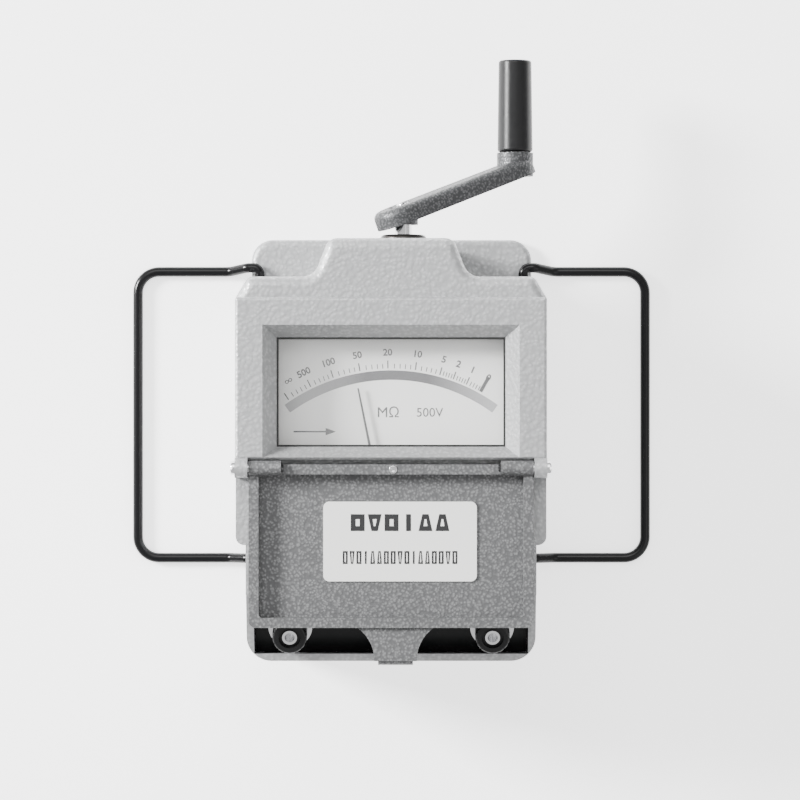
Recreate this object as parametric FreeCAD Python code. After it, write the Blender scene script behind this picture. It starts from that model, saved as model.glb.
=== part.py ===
"""Hand-cranked insulation resistance tester, in millimetres.

The instrument lies on its back: +Z points out of the dial, +Y towards the crank
and +X to the right of someone reading the dial.  The origin is the middle of the
case's flat resting rim.  Each function below makes one or a few related pieces.
"""
import FreeCAD, Part
import math
import os
from FreeCAD import Vector as V

# ---- case ------------------------------------------------------------------
CASE_HALF_W = 62.5          # wide middle section, half of its width
CASE_TOP_Y = 85.5           # crank end
CASE_LOW_Y = -85.5          # terminal end
SHOULDER_Y = 70.0           # wall that the upper hooks of the legs enter
SHOULDER_START_Y = 61.6     # where the wide section starts to narrow
SHOULDER_HALF_W = 57.5
LOW_STEP_Y = -38.0          # wall that the lower hooks of the legs enter
LOW_HALF_W = 58.5           # narrower terminal end, half of its width
WALL = 3.0
CORNER_R = 10.0
CASE_RIM_Z = 88.0           # top of the case's walls, under the bezel
NOSE_Z = 97.0               # top of the crank end
NOSE_HALF_END = 25.0        # crank nose, half width at its end face
NOSE_HALF_ROOT = 31.0       # and where it meets the shoulders
NOSE_EDGE_R = 4.0
STEP_R = 3.5                # corners where the wide section ends
PAD_HALF_W = 59.5           # base pads beside the nose
PAD_END_Y = 88.5
PAD_CORNER_R = 9.0
PAD_Z = 5.5
EDGE_R = 2.5

# ---- base plate ------------------------------------------------------------
BASE_RECESS = 1.5
BASE_T = 2.5
BASE_GAP = 0.4
BASE_POST_R = 4.5
BASE_POST_TOP = 16.0
BEZEL_EAR_R = 4.2
BEZEL_EAR_H = 9.0
GEAR_POST_R = 4.0
M3_R = 1.5
M3_CLEAR_R = 1.7
M3_TAP_R = 1.5
M3_HEAD_R = 2.8
M3_HEAD_H = 1.8
SCREW_FREE = 0.02           # radial play of a screw's thread in its hole

# ---- bezel, window and dial ------------------------------------------------
BEZEL_Z = 100.0             # front face of the bezel
BEZEL_LOW_Y = -3.4          # lower edge of the sill
APRON_Z = 91.5              # face of the apron that the open lid lies over
APRON_LOW_Y = -58.0
MOUTH_HALF_W = 51.5         # recess at the bezel's face
MOUTH_TOP_Y = 50.5
MOUTH_LOW_Y = -2.6
SIGHT_HALF_W = 46.0         # clear opening over the dial
SIGHT_TOP_Y = 45.6
SIGHT_LOW_Y = 1.6
SIGHT_Z = 93.0              # where the recess's slopes end
SILL_Z = 98.0
GLASS_T = 2.0
GLASS_LAP = 2.5
GLASS_GAP = 0.3
DIAL_Z = 82.0               # printed face of the dial
DIAL_T = 1.0
DIAL_HALF_W = 50.0
DIAL_TOP_Y = 50.0
DIAL_LOW_Y = -14.0

# ---- lid -------------------------------------------------------------------
HINGE_Y = -6.8
HINGE_Z = 100.0
LID_HALF_W = 57.0
LID_TOP_Y = -5.4            # edge beside the hinge, when open
LID_LOW_Y = -70.8
LID_RIM_DROP = 0.3          # rim below the hinge axis when open
LID_DEPTH = 7.7
LID_FLOOR = 2.5
LID_WALL = 4.0
TAB_ROOT_HALF = 17.0
TAB_END_HALF = 8.5
TAB_LEN = 13.4
TAB_X = 1.8
EAR_R = 3.0
EAR_INNER_X = 44.0
LUG_INNER_X = 57.4
LUG_R = 4.0
PIN_R = 1.6
PIN_FREE = 0.05
PIN_HEAD_R = 2.9
PIN_HEAD_T = 1.9
LABEL_W = 61.6
LABEL_H = 32.0
LABEL_T = 0.6
LABEL_X = 3.6
LABEL_Y = -36.4
LABEL_R = 2.4

# ---- steadying legs --------------------------------------------------------
LEG_R = 2.1
LEG_FREE = 0.1
LEG_PIVOT_X = 56.0
LEG_PIVOT_Z = 8.0
LEG_REACH = 52.0            # pivot to grip
LEG_TOP_Y = 76.5
LEG_LOW_Y = -46.8
LEG_CORNER_R = 9.0
LEG_BED = 8.0               # length of hook inside its hole
LEG_DROP_START = 5.0
LEG_DROP_END = 13.0
NOTCH_PLAY = 1.2
NOTCH_TOP_Z = 24.0

# ---- crank -----------------------------------------------------------------
CRANK_X = 5.0
CRANK_Z = 62.0
CRANK_REST_DEG = -22.0      # arm below level at rest
SHAFT_R = 3.5
SHAFT_FREE = 0.05
BUSH_R = 6.0
FLANGE_R = 9.5
FLANGE_T = 2.6
CRANK_R = 50.0
HUB_Y = 100.5               # arm's outer face at the shaft
ARM_RISE = 19.0
ARM_HUB_R = 11.0
ARM_END_R = 9.0
ARM_DOME = 3.0
ARM_RIM = 4.2
ARM_HOLLOW = 2.6
ARM_WALL = 2.2
HUB_BOSS_R = 6.0
GRIP_R = 7.3
GRIP_END_R = 6.8
GRIP_EDGE_R = 1.1
GRIP_LEN = 38.0
GRIP_CORE_R = 2.5
GRIP_GAP = 0.4

# ---- gears -----------------------------------------------------------------
MODULE = 0.8
DRIVE_TEETH = 60
PINION_TEETH = 15
SECOND_TEETH = 50
ROTOR_TEETH = 14
BACKLASH = 0.14
MID_DEG = -146.4            # direction from the crank to the middle arbor
ROTOR_DEG = -38.7           # and from there to the rotor
DRIVE_Y = 56.0
DRIVE_T = 5.0
SECOND_Y = 47.5
SECOND_T = 3.6
PLATE_T = 2.0
FRONT_PLATE_Y = 64.0
REAR_PLATE_Y = 42.0
ARBOR_R = 2.0
PILLAR_R = 3.0

# ---- generator -------------------------------------------------------------
STATOR_R = 21.5
STATOR_BORE_R = 12.2
ROTOR_R = 11.2
STACK_LEN = 28.0
STACK_Y = 2.0
BELL_Y = -14.0
BELL_T = 2.5

# ---- meter movement --------------------------------------------------------
METER_Y = -41.0
STAFF_R = 0.8
CORE_R = 10.0
COIL_GAP = 1.0
COIL_T = 1.4
DEFLECTING_COIL_DEG = -18.6
CONTROL_COIL_DEG = 41.4
CORE_BAR_W = 3.2
MAGNET_R = 25.0
MAGNET_BORE_R = 18.5
METER_Z = 55.0              # underside of the magnet
MAGNET_H = 16.0
METER_FOOT_T = 3.0
LEDGE_W = 5.0
POINTER_Z = 84.3
POINTER_T = 0.4
POINTER_LEN = 67.5
POINTER_REST_DEG = 11.4     # left of straight up
BRIDGE_Z = 86.0
BRIDGE_T = 1.8

# ---- circuit board ---------------------------------------------------------
PCB_Z = 9.0
PCB_T = 1.6
PCB_HALF_W = 36.0
PCB_LOW_Y = -79.0
PCB_HIGH_Y = -20.0

# ---- terminals -------------------------------------------------------------
TERMINAL_X = 41.0
TERMINAL_Y = -71.4
TERMINAL_TILT = 20.0
RIM_SLOPE_Y = -58.0
PANEL_DROP = 8.0            # panel's face below the sloped rim
PANEL_T = 4.0
PANEL_GAP = 0.4
POST_R = 3.0
SOCKET_R = 2.0              # takes a 4 mm plug
SOCKET_DEEP = 11.0
COLLAR_R = 8.9
COLLAR_T = 1.4
FACE_GAP = 0.3
WASHER_DISH = 0.7
POST_FREE = 0.06
KNOB_R = 7.0
KNOB_H = 10.2
WASHER_R = 8.4
WASHER_T = 1.2


# ---- small helpers ---------------------------------------------------------
def block(x0, x1, y0, y1, z0, z1):
    return Part.makeBox(x1 - x0, y1 - y0, z1 - z0, V(x0, y0, z0))


def rod(r, start, end):
    way = end - start
    return Part.makeCylinder(r, way.Length, start, way)


def along_y(r, x, z, y0, y1):
    return rod(r, V(x, y0, z), V(x, y1, z))


def along_z(r, x, y, z0, z1):
    return rod(r, V(x, y, z0), V(x, y, z1))


def mirrored(shape):
    """The same shape on the other side of the YZ plane."""
    return shape.mirror(V(0, 0, 0), V(1, 0, 0))


def turned(shape, centre, axis, degrees):
    copy = shape.copy()
    copy.rotate(centre, axis, degrees)
    return copy


def polygon(points):
    return Part.makePolygon(points + [points[0]])


def prism(points, z0, z1):
    """Upright prism over a closed outline of (x, y) points."""
    face = Part.Face(polygon([V(x, y, z0) for x, y in points]))
    return face.extrude(V(0, 0, z1 - z0))


def fillet(shape, radius, wanted):
    edges = [e for e in shape.Edges if wanted(e)]
    return shape.makeFillet(radius, edges) if edges else shape


def upright_at(points, tolerance=0.05):
    """Picks upright edges that stand at the given (x, y) points."""
    def wanted(edge):
        box = edge.BoundBox
        if box.XLength > tolerance or box.YLength > tolerance:
            return False
        return any(abs(box.XMin - x) < tolerance and abs(box.YMin - y) < tolerance for x, y in points)
    return wanted


def rounded_plate(x0, x1, y0, y1, z0, z1, radius):
    corners = [(x0, y0), (x1, y0), (x1, y1), (x0, y1)]
    return fillet(block(x0, x1, y0, y1, z0, z1), radius, upright_at(corners))


def one_solid(shape):
    """A clean single solid out of a boolean result."""
    shape = shape.removeSplitter()
    solids = sorted(shape.Solids, key=lambda s: -s.Volume)
    return solids[0]


def bent_wire(points, radii):
    """A path of straight runs joined by tangent arcs, one radius for each inner point."""
    edges = []
    start = points[0]
    for before, corner, after, radius in zip(points, points[1:], points[2:], radii):
        back = (before - corner).normalize()
        ahead = (after - corner).normalize()
        half = back.getAngle(ahead) / 2
        reach = radius / math.tan(half)
        enter = corner + back * reach
        leave = corner + ahead * reach
        middle_way = (back + ahead).normalize()
        middle = corner + middle_way * (radius / math.sin(half) - radius)
        edges.append(Part.LineSegment(start, enter).toShape())
        edges.append(Part.Arc(enter, middle, leave).toShape())
        start = leave
    edges.append(Part.LineSegment(start, points[-1]).toShape())
    return Part.Wire(edges)


def round_bar(points, radii, r):
    path = bent_wire(points, radii)
    way = points[1] - points[0]
    section = Part.Wire(Part.makeCircle(r, points[0], way))
    return path.makePipeShell([section], True, False)


def pan_screw(head_seat, way, length, r=M3_R, head_r=M3_HEAD_R, head_h=M3_HEAD_H):
    """A slotted pan-head screw: its head's underside at head_seat, its thread running along way."""
    way = V(way).normalize()
    head = Part.makeCylinder(head_r, head_h, head_seat, way * -1)
    top = head_seat - way * head_h
    rim = [e for e in head.Edges if (e.BoundBox.Center - top).Length < 0.01 and len(e.Vertexes) == 1]
    head = head.makeFillet(head_h * 0.45, rim)
    thread = Part.makeCylinder(r - SCREW_FREE, length, head_seat, way)
    side = V(1, 0, 0) if abs(way.x) < 0.9 else V(0, 1, 0)
    slot_way = way.cross(side).normalize()
    slot = Part.makeBox(head_r * 3, head_r * 0.34, head_h, V(-head_r * 1.5, -head_r * 0.17, head_h * 0.5))
    turn = FreeCAD.Rotation(slot_way, way.cross(slot_way), way * -1, "ZXY")
    slot.Placement = FreeCAD.Placement(head_seat, turn)
    return one_solid(head.fuse(thread).cut(slot))


def hex_nut(centre, way, across, height, bore_r):
    """A nut whose lower face is at centre."""
    corner_r = across / math.sqrt(3)
    turns = [math.radians(60 * k) for k in range(6)]
    ring = [V(corner_r * math.cos(a), corner_r * math.sin(a), 0) for a in turns]
    nut = Part.Face(polygon(ring)).extrude(V(0, 0, height))
    nut = nut.cut(Part.makeCylinder(bore_r, height, V(0, 0, 0)))
    nut.Placement = FreeCAD.Placement(centre, FreeCAD.Rotation(V(0, 0, 1), V(way)))
    return nut


# ---- case ------------------------------------------------------------------
def case_outline(inset=0.0):
    """Plan outline of the case above its base pads, as (x, y) points, right side then left."""
    wide = CASE_HALF_W - inset
    low = LOW_HALF_W - inset
    right = [
        (low, CASE_LOW_Y + inset), (low, LOW_STEP_Y + inset), (wide, LOW_STEP_Y + inset),
        (wide, SHOULDER_START_Y - inset / 2), (SHOULDER_HALF_W - inset, SHOULDER_Y - inset),
        (NOSE_HALF_ROOT - inset, SHOULDER_Y - inset), (NOSE_HALF_END - inset, CASE_TOP_Y - inset),
    ]
    return right + [(-x, y) for x, y in reversed(right)]


def leg_notch(grow=0.0):
    """Room for the lower hook of the right leg, open to the side and underneath."""
    return block(LEG_PIVOT_X - LEG_R - NOTCH_PLAY - grow, CASE_HALF_W + 5,
                 LEG_LOW_Y - LEG_R - NOTCH_PLAY - grow, LOW_STEP_Y, -1, NOTCH_TOP_Z + grow)


def base_posts():
    """The base plate's screw posts, as (x, y)."""
    x_high = SHOULDER_HALF_W - WALL - BASE_POST_R - 1
    x_low = LOW_HALF_W - WALL - BASE_POST_R + 1
    y_high = SHOULDER_Y - WALL - BASE_POST_R - 7
    y_low = CASE_LOW_Y + WALL + BASE_POST_R + 1
    return [(x_high, y_high), (-x_high, y_high), (x_low, y_low), (-x_low, y_low)]


def bezel_posts():
    """Screws that hold the bezel from inside, as (x, y)."""
    x = CASE_HALF_W - WALL - 3.5
    return [(x, 46.0), (-x, 46.0), (x, -26.0), (-x, -26.0)]


def gear_posts():
    """Pillars in the nose that carry the gear frame, as (x, z)."""
    return [(-16.0, 78.0), (18.0, 84.0), (18.0, 34.0), (-16.0, 34.0)]


def cavity():
    """Space inside the case, open below and above."""
    room = prism(case_outline(WALL), -1, NOSE_Z - WALL)
    room = room.common(block(-80, 80, -90, 90, -1, NOSE_Z - WALL))
    for notch in (leg_notch(WALL), mirrored(leg_notch(WALL))):
        room = room.cut(notch)
    return room


def rim_slope():
    """Everything above the sloping rim round the terminals."""
    run = RIM_SLOPE_Y - CASE_LOW_Y + 5
    drop = run * math.tan(math.radians(TERMINAL_TILT))
    z = CASE_RIM_Z
    end_y = RIM_SLOPE_Y - run
    bend, end = V(-90, RIM_SLOPE_Y, z), V(-90, end_y, z - drop)
    side = polygon([bend, end, V(-90, end_y, 140), V(-90, RIM_SLOPE_Y, 140)])
    return Part.Face(side).extrude(V(180, 0, 0))


def tilted_slab(low, high):
    """Slab parallel to the sloping rim, between two heights measured square to it from the rim."""
    slab = Part.makeBox(180, 60, high - low, V(-90, -50, low))
    slab.rotate(V(0, 0, 0), V(1, 0, 0), TERMINAL_TILT)
    slab.translate(V(0, RIM_SLOPE_Y, CASE_RIM_Z))
    return slab


def sideways(x, reach, half_len, y, z0, z1):
    """A block that runs from x outwards, to the side wall it is nearer."""
    x0, x1 = sorted((x, x + math.copysign(reach, x)))
    return block(x0, x1, y - half_len, y + half_len, z0, z1)


def with_screw_posts(shell):
    """Posts of the base plate, ears of the bezel's screws and pillars of the gear frame."""
    for x, y in base_posts():
        post = along_z(BASE_POST_R, x, y, BASE_RECESS + BASE_T, BASE_POST_TOP)
        web = sideways(x, 12.0, 2.0, y, BASE_RECESS + BASE_T, BASE_POST_TOP)
        web = web.common(prism(case_outline(1.0), 0, 40))
        shell = shell.fuse(post).fuse(web).cut(along_z(M3_TAP_R, x, y, 0, BASE_POST_TOP - 2))
    for x, y in bezel_posts():
        ear = along_z(BEZEL_EAR_R, x, y, CASE_RIM_Z - BEZEL_EAR_H, CASE_RIM_Z)
        ear = ear.fuse(sideways(x, 4.0, BEZEL_EAR_R, y, CASE_RIM_Z - BEZEL_EAR_H, CASE_RIM_Z))
        shell = shell.fuse(ear).cut(along_z(M3_CLEAR_R, x, y, CASE_RIM_Z - 10, CASE_RIM_Z + 1))
    for x, z in gear_posts():
        shell = shell.fuse(along_y(GEAR_POST_R, x, z, FRONT_PLATE_Y + PLATE_T, CASE_TOP_Y - WALL + 0.5))
        shell = shell.cut(along_y(M3_TAP_R, x, z, FRONT_PLATE_Y, FRONT_PLATE_Y + PLATE_T + 10))
    return shell


def with_side_ledges(shell):
    """Ledges on the side walls that carry the meter's cradle and the terminal panel."""
    cradle_z = METER_Z - METER_FOOT_T
    panel_low = -PANEL_DROP - PANEL_T
    for side in (1, -1):
        x0, x1 = sorted((side * (LOW_HALF_W - WALL - LEDGE_W), side * (LOW_HALF_W - 1)))
        shell = shell.fuse(block(x0, x1, METER_Y - 9, LOW_STEP_Y - 1, cradle_z - 6, cradle_z))
        ledge = tilted_slab(panel_low - 4, panel_low)
        shell = shell.fuse(ledge.common(block(x0, x1, CASE_LOW_Y + CORNER_R, RIM_SLOPE_Y - 4, 0, 90)))
    for x, y in cradle_posts():
        shell = shell.cut(along_z(M3_TAP_R, x, y, cradle_z - 5.5, METER_Z))
    for x, along in panel_posts():
        shell = shell.cut(rod(1.2, panel_point(x, along, panel_low - 4), panel_point(x, along, 0)))
    return shell


def make_case():
    low_corners = [(LOW_HALF_W, CASE_LOW_Y), (-LOW_HALF_W, CASE_LOW_Y)]
    nose_corners = [(NOSE_HALF_END, CASE_TOP_Y), (-NOSE_HALF_END, CASE_TOP_Y)]
    nose_roots = [(NOSE_HALF_ROOT, SHOULDER_Y), (-NOSE_HALF_ROOT, SHOULDER_Y)]
    shoulders = [(SHOULDER_HALF_W, SHOULDER_Y), (-SHOULDER_HALF_W, SHOULDER_Y)]
    steps = [(CASE_HALF_W, LOW_STEP_Y), (-CASE_HALF_W, LOW_STEP_Y)]
    shell = prism(case_outline(), 0, NOSE_Z)
    shell = fillet(shell, CORNER_R, upright_at(low_corners))
    shell = fillet(shell, 7.0, upright_at(nose_roots))
    shell = fillet(shell, 5.0, upright_at(nose_corners))
    shell = fillet(shell, STEP_R, upright_at(steps))
    shell = fillet(shell, 3.0, upright_at(shoulders))
    shell = shell.cut(block(-80, 80, CASE_LOW_Y - 1, SHOULDER_START_Y, CASE_RIM_Z, NOSE_Z + 1))
    past_bezel = SHOULDER_START_Y + 0.1
    shell = fillet(
        shell, NOSE_EDGE_R,
        lambda e: e.BoundBox.ZMin > NOSE_Z - 0.01 and e.BoundBox.YMax > past_bezel)
    pads = block(-PAD_HALF_W, PAD_HALF_W, SHOULDER_Y - 6, PAD_END_Y, 0, PAD_Z)
    pads = fillet(pads, PAD_CORNER_R, upright_at([(PAD_HALF_W, PAD_END_Y), (-PAD_HALF_W, PAD_END_Y)]))
    pads = fillet(pads, EDGE_R, lambda e: e.BoundBox.ZMin > PAD_Z - 0.01 and e.BoundBox.YMax > SHOULDER_Y)
    shell = shell.fuse(pads)
    shell = shell.cut(cavity().cut(block(-80, 80, SHOULDER_Y - WALL, 90, -2, BASE_RECESS + BASE_T)))
    shell = shell.cut(rim_slope())
    shell = with_screw_posts(shell)
    shell = with_side_ledges(shell)
    for notch in (leg_notch(), mirrored(leg_notch())):
        shell = shell.cut(notch)
    for side in (1, -1):
        x = side * LEG_PIVOT_X
        for wall_y, way in ((SHOULDER_Y, -1), (LOW_STEP_Y, 1)):
            boss = along_y(5.0, x, LEG_PIVOT_Z, wall_y, wall_y + way * (LEG_BED + 2.5))
            boss = boss.common(block(-CASE_HALF_W, CASE_HALF_W, -90, 90, 0, 40))
            inner = block(-CASE_HALF_W + 1, CASE_HALF_W - 1, LOW_STEP_Y, SHOULDER_Y, 0, 40)
            shell = shell.fuse(boss.common(inner))
            bed = along_y(LEG_R + LEG_FREE, x, LEG_PIVOT_Z, wall_y - way * 3, wall_y + way * (LEG_BED + 0.6))
            shell = shell.cut(bed)
    shell = shell.cut(along_y(BUSH_R, CRANK_X, CRANK_Z, CASE_TOP_Y - WALL - 5, CASE_TOP_Y + 1))
    return one_solid(shell)


def make_base_plate():
    plan = prism(case_outline(WALL + BASE_GAP), BASE_RECESS, BASE_RECESS + BASE_T)
    plan = plan.cut(block(-80, 80, SHOULDER_Y - WALL - BASE_GAP, 90, -1, 9))
    for notch in (leg_notch(WALL + BASE_GAP), mirrored(leg_notch(WALL + BASE_GAP))):
        plan = plan.cut(notch)
    for side in (1, -1):
        for wall_y, way in ((SHOULDER_Y, -1), (LOW_STEP_Y, 1)):
            end = wall_y + way * (LEG_BED + 2.5 + BASE_GAP)
            plan = plan.cut(along_y(5.0 + BASE_GAP, side * LEG_PIVOT_X, LEG_PIVOT_Z, wall_y, end))
    for x, y in base_posts():
        plan = plan.cut(along_z(M3_CLEAR_R, x, y, 0, 9))
    for x, y in pcb_posts():
        plan = plan.fuse(along_z(3.0, x, y, BASE_RECESS + BASE_T - 0.1, PCB_Z))
        plan = plan.cut(along_z(1.2, x, y, BASE_RECESS + 1, PCB_Z + 1))
    return one_solid(plan)


def make_base_screws():
    up = V(0, 0, 1)
    return Part.makeCompound([pan_screw(V(x, y, BASE_RECESS), up, 10.0, head_h=1.4) for x, y in base_posts()])


def make_bezel():
    """Window frame and apron, one casting."""
    frame = rounded_plate(-CASE_HALF_W, CASE_HALF_W, BEZEL_LOW_Y, SHOULDER_START_Y, CASE_RIM_Z, BEZEL_Z, 1.0)
    outer_top = [e for e in frame.Edges if e.BoundBox.ZMin > BEZEL_Z - 0.01]
    frame = frame.makeFillet(1.4, outer_top)
    mouth = Part.makeLoft([
        polygon([V(s * w, y, z) for s, w, y in ((-1, w, lo), (1, w, lo), (1, w, hi), (-1, w, hi))])
        for w, lo, hi, z in (
            (SIGHT_HALF_W, SIGHT_LOW_Y, SIGHT_TOP_Y, SIGHT_Z),
            (MOUTH_HALF_W, MOUTH_LOW_Y, MOUTH_TOP_Y, BEZEL_Z + 0.01),
        )
    ], True, True)
    frame = frame.cut(mouth)
    frame = frame.cut(block(
        -SIGHT_HALF_W, SIGHT_HALF_W, SIGHT_LOW_Y, SIGHT_TOP_Y, CASE_RIM_Z - 1, SIGHT_Z + 1))
    frame = frame.cut(block(-SIGHT_HALF_W - GLASS_LAP, SIGHT_HALF_W + GLASS_LAP, SIGHT_LOW_Y - GLASS_LAP,
                            SIGHT_TOP_Y + GLASS_LAP, CASE_RIM_Z - 1, SIGHT_Z - 0.9))
    frame = frame.cut(block(-LUG_INNER_X, LUG_INNER_X, BEZEL_LOW_Y - 1, MOUTH_LOW_Y, SILL_Z, BEZEL_Z + 1))
    apron = rounded_plate(-CASE_HALF_W, CASE_HALF_W, LOW_STEP_Y, BEZEL_LOW_Y + 6, CASE_RIM_Z, APRON_Z, STEP_R)
    apron = apron.cut(block(-CASE_HALF_W - 1, CASE_HALF_W + 1, BEZEL_LOW_Y + 0.5, 20, 80, 99))
    lower = block(-LOW_HALF_W, LOW_HALF_W, APRON_LOW_Y, LOW_STEP_Y + 4, CASE_RIM_Z, APRON_Z)
    body = frame.fuse(apron).fuse(lower)
    for side in (1, -1):
        x0, x1 = sorted((side * LUG_INNER_X, side * CASE_HALF_W))
        lug = rod(LUG_R, V(x0, HINGE_Y, HINGE_Z), V(x1, HINGE_Y, HINGE_Z))
        lug = lug.fuse(block(x0, x1, HINGE_Y - LUG_R, HINGE_Y + LUG_R, APRON_Z - 1, HINGE_Z))
        pin_hole = rod(PIN_R + PIN_FREE, V(x0 - 3, HINGE_Y, HINGE_Z), V(x1 + 3, HINGE_Y, HINGE_Z))
        body = body.fuse(lug).cut(pin_hole)
    for x, y in bezel_posts():
        depth = 2.6 if y < 0 else 7.0
        body = body.cut(along_z(M3_TAP_R, x, y, CASE_RIM_Z - 1, CASE_RIM_Z + depth))
    return one_solid(body)


def make_bezel_screws():
    screws = []
    for x, y in bezel_posts():
        bite = 2.4 if y < 0 else 6.5
        screws.append(pan_screw(V(x, y, CASE_RIM_Z - BEZEL_EAR_H), V(0, 0, 1), BEZEL_EAR_H + bite))
    return Part.makeCompound(screws)


def make_glass():
    lap = GLASS_LAP - GLASS_GAP
    top = SIGHT_Z - 0.9
    return block(
        -SIGHT_HALF_W - lap, SIGHT_HALF_W + lap, SIGHT_LOW_Y - lap, SIGHT_TOP_Y + lap,
        top - GLASS_T, top)


def make_glass_clips():
    """Spring strips that press the pane up into the bezel, at its two ends."""
    top = SIGHT_Z - 0.9 - GLASS_T
    clips = []
    for side in (1, -1):
        inner = side * (SIGHT_HALF_W + 0.4)
        outer = side * (SIGHT_HALF_W + GLASS_LAP)
        x0, x1 = sorted((inner, outer))
        clips.append(block(x0, x1, 10, 36, CASE_RIM_Z + 0.4, top))
    return Part.makeCompound(clips)


# ---- dial and movement -----------------------------------------------------
def dial_posts():
    """Screws that hold the dial plate, as (x, y)."""
    x = DIAL_HALF_W - 4.0
    return [(x, -8.0), (-x, -8.0)]


def make_dial():
    plate = rounded_plate(-DIAL_HALF_W, DIAL_HALF_W, DIAL_LOW_Y, DIAL_TOP_Y, DIAL_Z - DIAL_T, DIAL_Z, 2.0)
    for x, y in dial_posts():
        plate = plate.cut(along_z(1.1, x, y, 0, 100))
    return plate


def make_dial_bracket():
    """Bent strip over the magnet that carries the dial plate and the lower pivot bridge."""
    top = DIAL_Z - DIAL_T
    strip = block(-DIAL_HALF_W + 1, DIAL_HALF_W - 1, -12.0, -4.0, top - 2.0, top)
    for side in (1, -1):
        x0, x1 = sorted((side * 14.0, side * 22.0))
        strip = strip.fuse(block(x0, x1, METER_Y + 16, -4.0, top - 2.0, top))
        strip = strip.fuse(block(x0, x1, METER_Y + 14, METER_Y + 16, METER_Z + MAGNET_H, top))
        foot = block(
            x0, x1, METER_Y + 9, METER_Y + 16, METER_Z + MAGNET_H, METER_Z + MAGNET_H + 1.5)
        strip = strip.fuse(foot)
        strip = strip.cut(along_z(1.2, side * 18.0, METER_Y + 12, 60, 90))
    for x, y in dial_posts():
        strip = strip.cut(along_z(1.0, x, y, 60, 90))
    return one_solid(strip)


def make_dial_screws():
    down = V(0, 0, -1)
    return Part.makeCompound([pan_screw(V(x, y, DIAL_Z), down, 2.6, 1.0, 1.8, 0.9) for x, y in dial_posts()])


def make_bracket_screws():
    top = METER_Z + MAGNET_H + 1.5
    seats = [V(x, METER_Y + 12, top) for x in (-18.0, 18.0)]
    return Part.makeCompound([pan_screw(seat, V(0, 0, -1), 6.4, 1.2, 1.85, 1.2) for seat in seats])


def make_magnet():
    """Ring magnet of the movement."""
    ring = along_z(MAGNET_R, 0, METER_Y, METER_Z, METER_Z + MAGNET_H)
    ring = ring.cut(along_z(MAGNET_BORE_R, 0, METER_Y, METER_Z - 1, METER_Z + MAGNET_H + 1))
    for side in (1, -1):
        ring = ring.cut(along_z(
            1.2, side * 18.0, METER_Y + 12, METER_Z + MAGNET_H - 6, METER_Z + MAGNET_H + 1))
    return ring


def pole_ring_bore():
    return CORE_R + 2 * COIL_GAP + COIL_T


def make_pole_shoes():
    shoes = []
    for side in (1, -1):
        ring = along_z(MAGNET_BORE_R - 0.02, 0, METER_Y, METER_Z + 2, METER_Z + MAGNET_H - 2)
        ring = ring.cut(along_z(pole_ring_bore(), 0, METER_Y, METER_Z, METER_Z + MAGNET_H))
        x0, x1 = sorted((side * 4.5, side * 30))
        half = block(x0, x1, METER_Y - 30, METER_Y + 30, METER_Z, METER_Z + MAGNET_H)
        shoes.append(one_solid(ring.common(half)))
    return Part.makeCompound(shoes)


def make_core():
    """Soft iron core inside the coils, on a cross bar between the pole shoes."""
    core = along_z(CORE_R, 0, METER_Y, METER_Z + 3, METER_Z + MAGNET_H - 3)
    y0, y1 = METER_Y - MAGNET_BORE_R, METER_Y + MAGNET_BORE_R
    bar = block(-CORE_BAR_W / 2, CORE_BAR_W / 2, y0, y1, METER_Z + 6, METER_Z + 10)
    bar = bar.common(along_z(MAGNET_BORE_R - 0.02, 0, METER_Y, METER_Z, METER_Z + MAGNET_H))
    return one_solid(core.fuse(bar).cut(along_z(STAFF_R + 1.2, 0, METER_Y, METER_Z, METER_Z + MAGNET_H)))


def coil_frame(clear, degrees):
    """Rectangular winding round the core, standing across the pivot."""
    outer_x = CORE_R + COIL_GAP + COIL_T
    z0, z1 = METER_Z + 3 - clear, METER_Z + MAGNET_H - 3 + clear
    outer = block(-outer_x, outer_x, -2.2, 2.2, z0 - COIL_T, z1 + COIL_T)
    inner_x = outer_x - COIL_T
    outer = outer.cut(block(-inner_x, inner_x, -3, 3, z0, z1))
    outer = fillet(outer, 0.6, lambda e: e.BoundBox.YLength > 4 and abs(e.BoundBox.XMin) > inner_x + 0.1)
    outer.translate(V(0, METER_Y, 0))
    return turned(outer, V(0, METER_Y, 0), V(0, 0, 1), degrees)


def make_deflecting_coil():
    return coil_frame(0.7, DEFLECTING_COIL_DEG).cut(along_z(STAFF_R, 0, METER_Y, 0, 120))


def make_control_coil():
    return coil_frame(2.5, CONTROL_COIL_DEG).cut(along_z(STAFF_R, 0, METER_Y, 0, 120))


def make_staff():
    """Pivot staff, pointed at both ends."""
    low = METER_Z - 4.2
    high = BRIDGE_Z + 0.3
    shaft = along_z(STAFF_R, 0, METER_Y, low + 1.0, high - 1.0)
    tips = Part.makeCone(0.1, STAFF_R, 1.0, V(0, METER_Y, low))
    tips = tips.fuse(Part.makeCone(STAFF_R, 0.1, 1.0, V(0, METER_Y, high - 1.0)))
    return one_solid(shaft.fuse(tips))


def make_pointer():
    """Needle with its hub and balance tail."""
    z0 = POINTER_Z - POINTER_T
    needle = prism([(-0.9, 0), (0.9, 0), (0.32, POINTER_LEN), (-0.32, POINTER_LEN)], z0, POINTER_Z)
    tail = prism([(-0.7, 0), (0.7, 0), (0.7, -11), (-0.7, -11)], z0, POINTER_Z)
    weight = along_z(1.7, 0, -10, z0, POINTER_Z + 0.5)
    hub = along_z(2.4, 0, 0, z0, POINTER_Z + 0.6)
    needle = one_solid(needle.fuse(tail).fuse(weight).fuse(hub).cut(along_z(STAFF_R, 0, 0, 0, 120)))
    needle.translate(V(0, METER_Y, 0))
    return turned(needle, V(0, METER_Y, 0), V(0, 0, 1), POINTER_REST_DEG)


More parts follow.
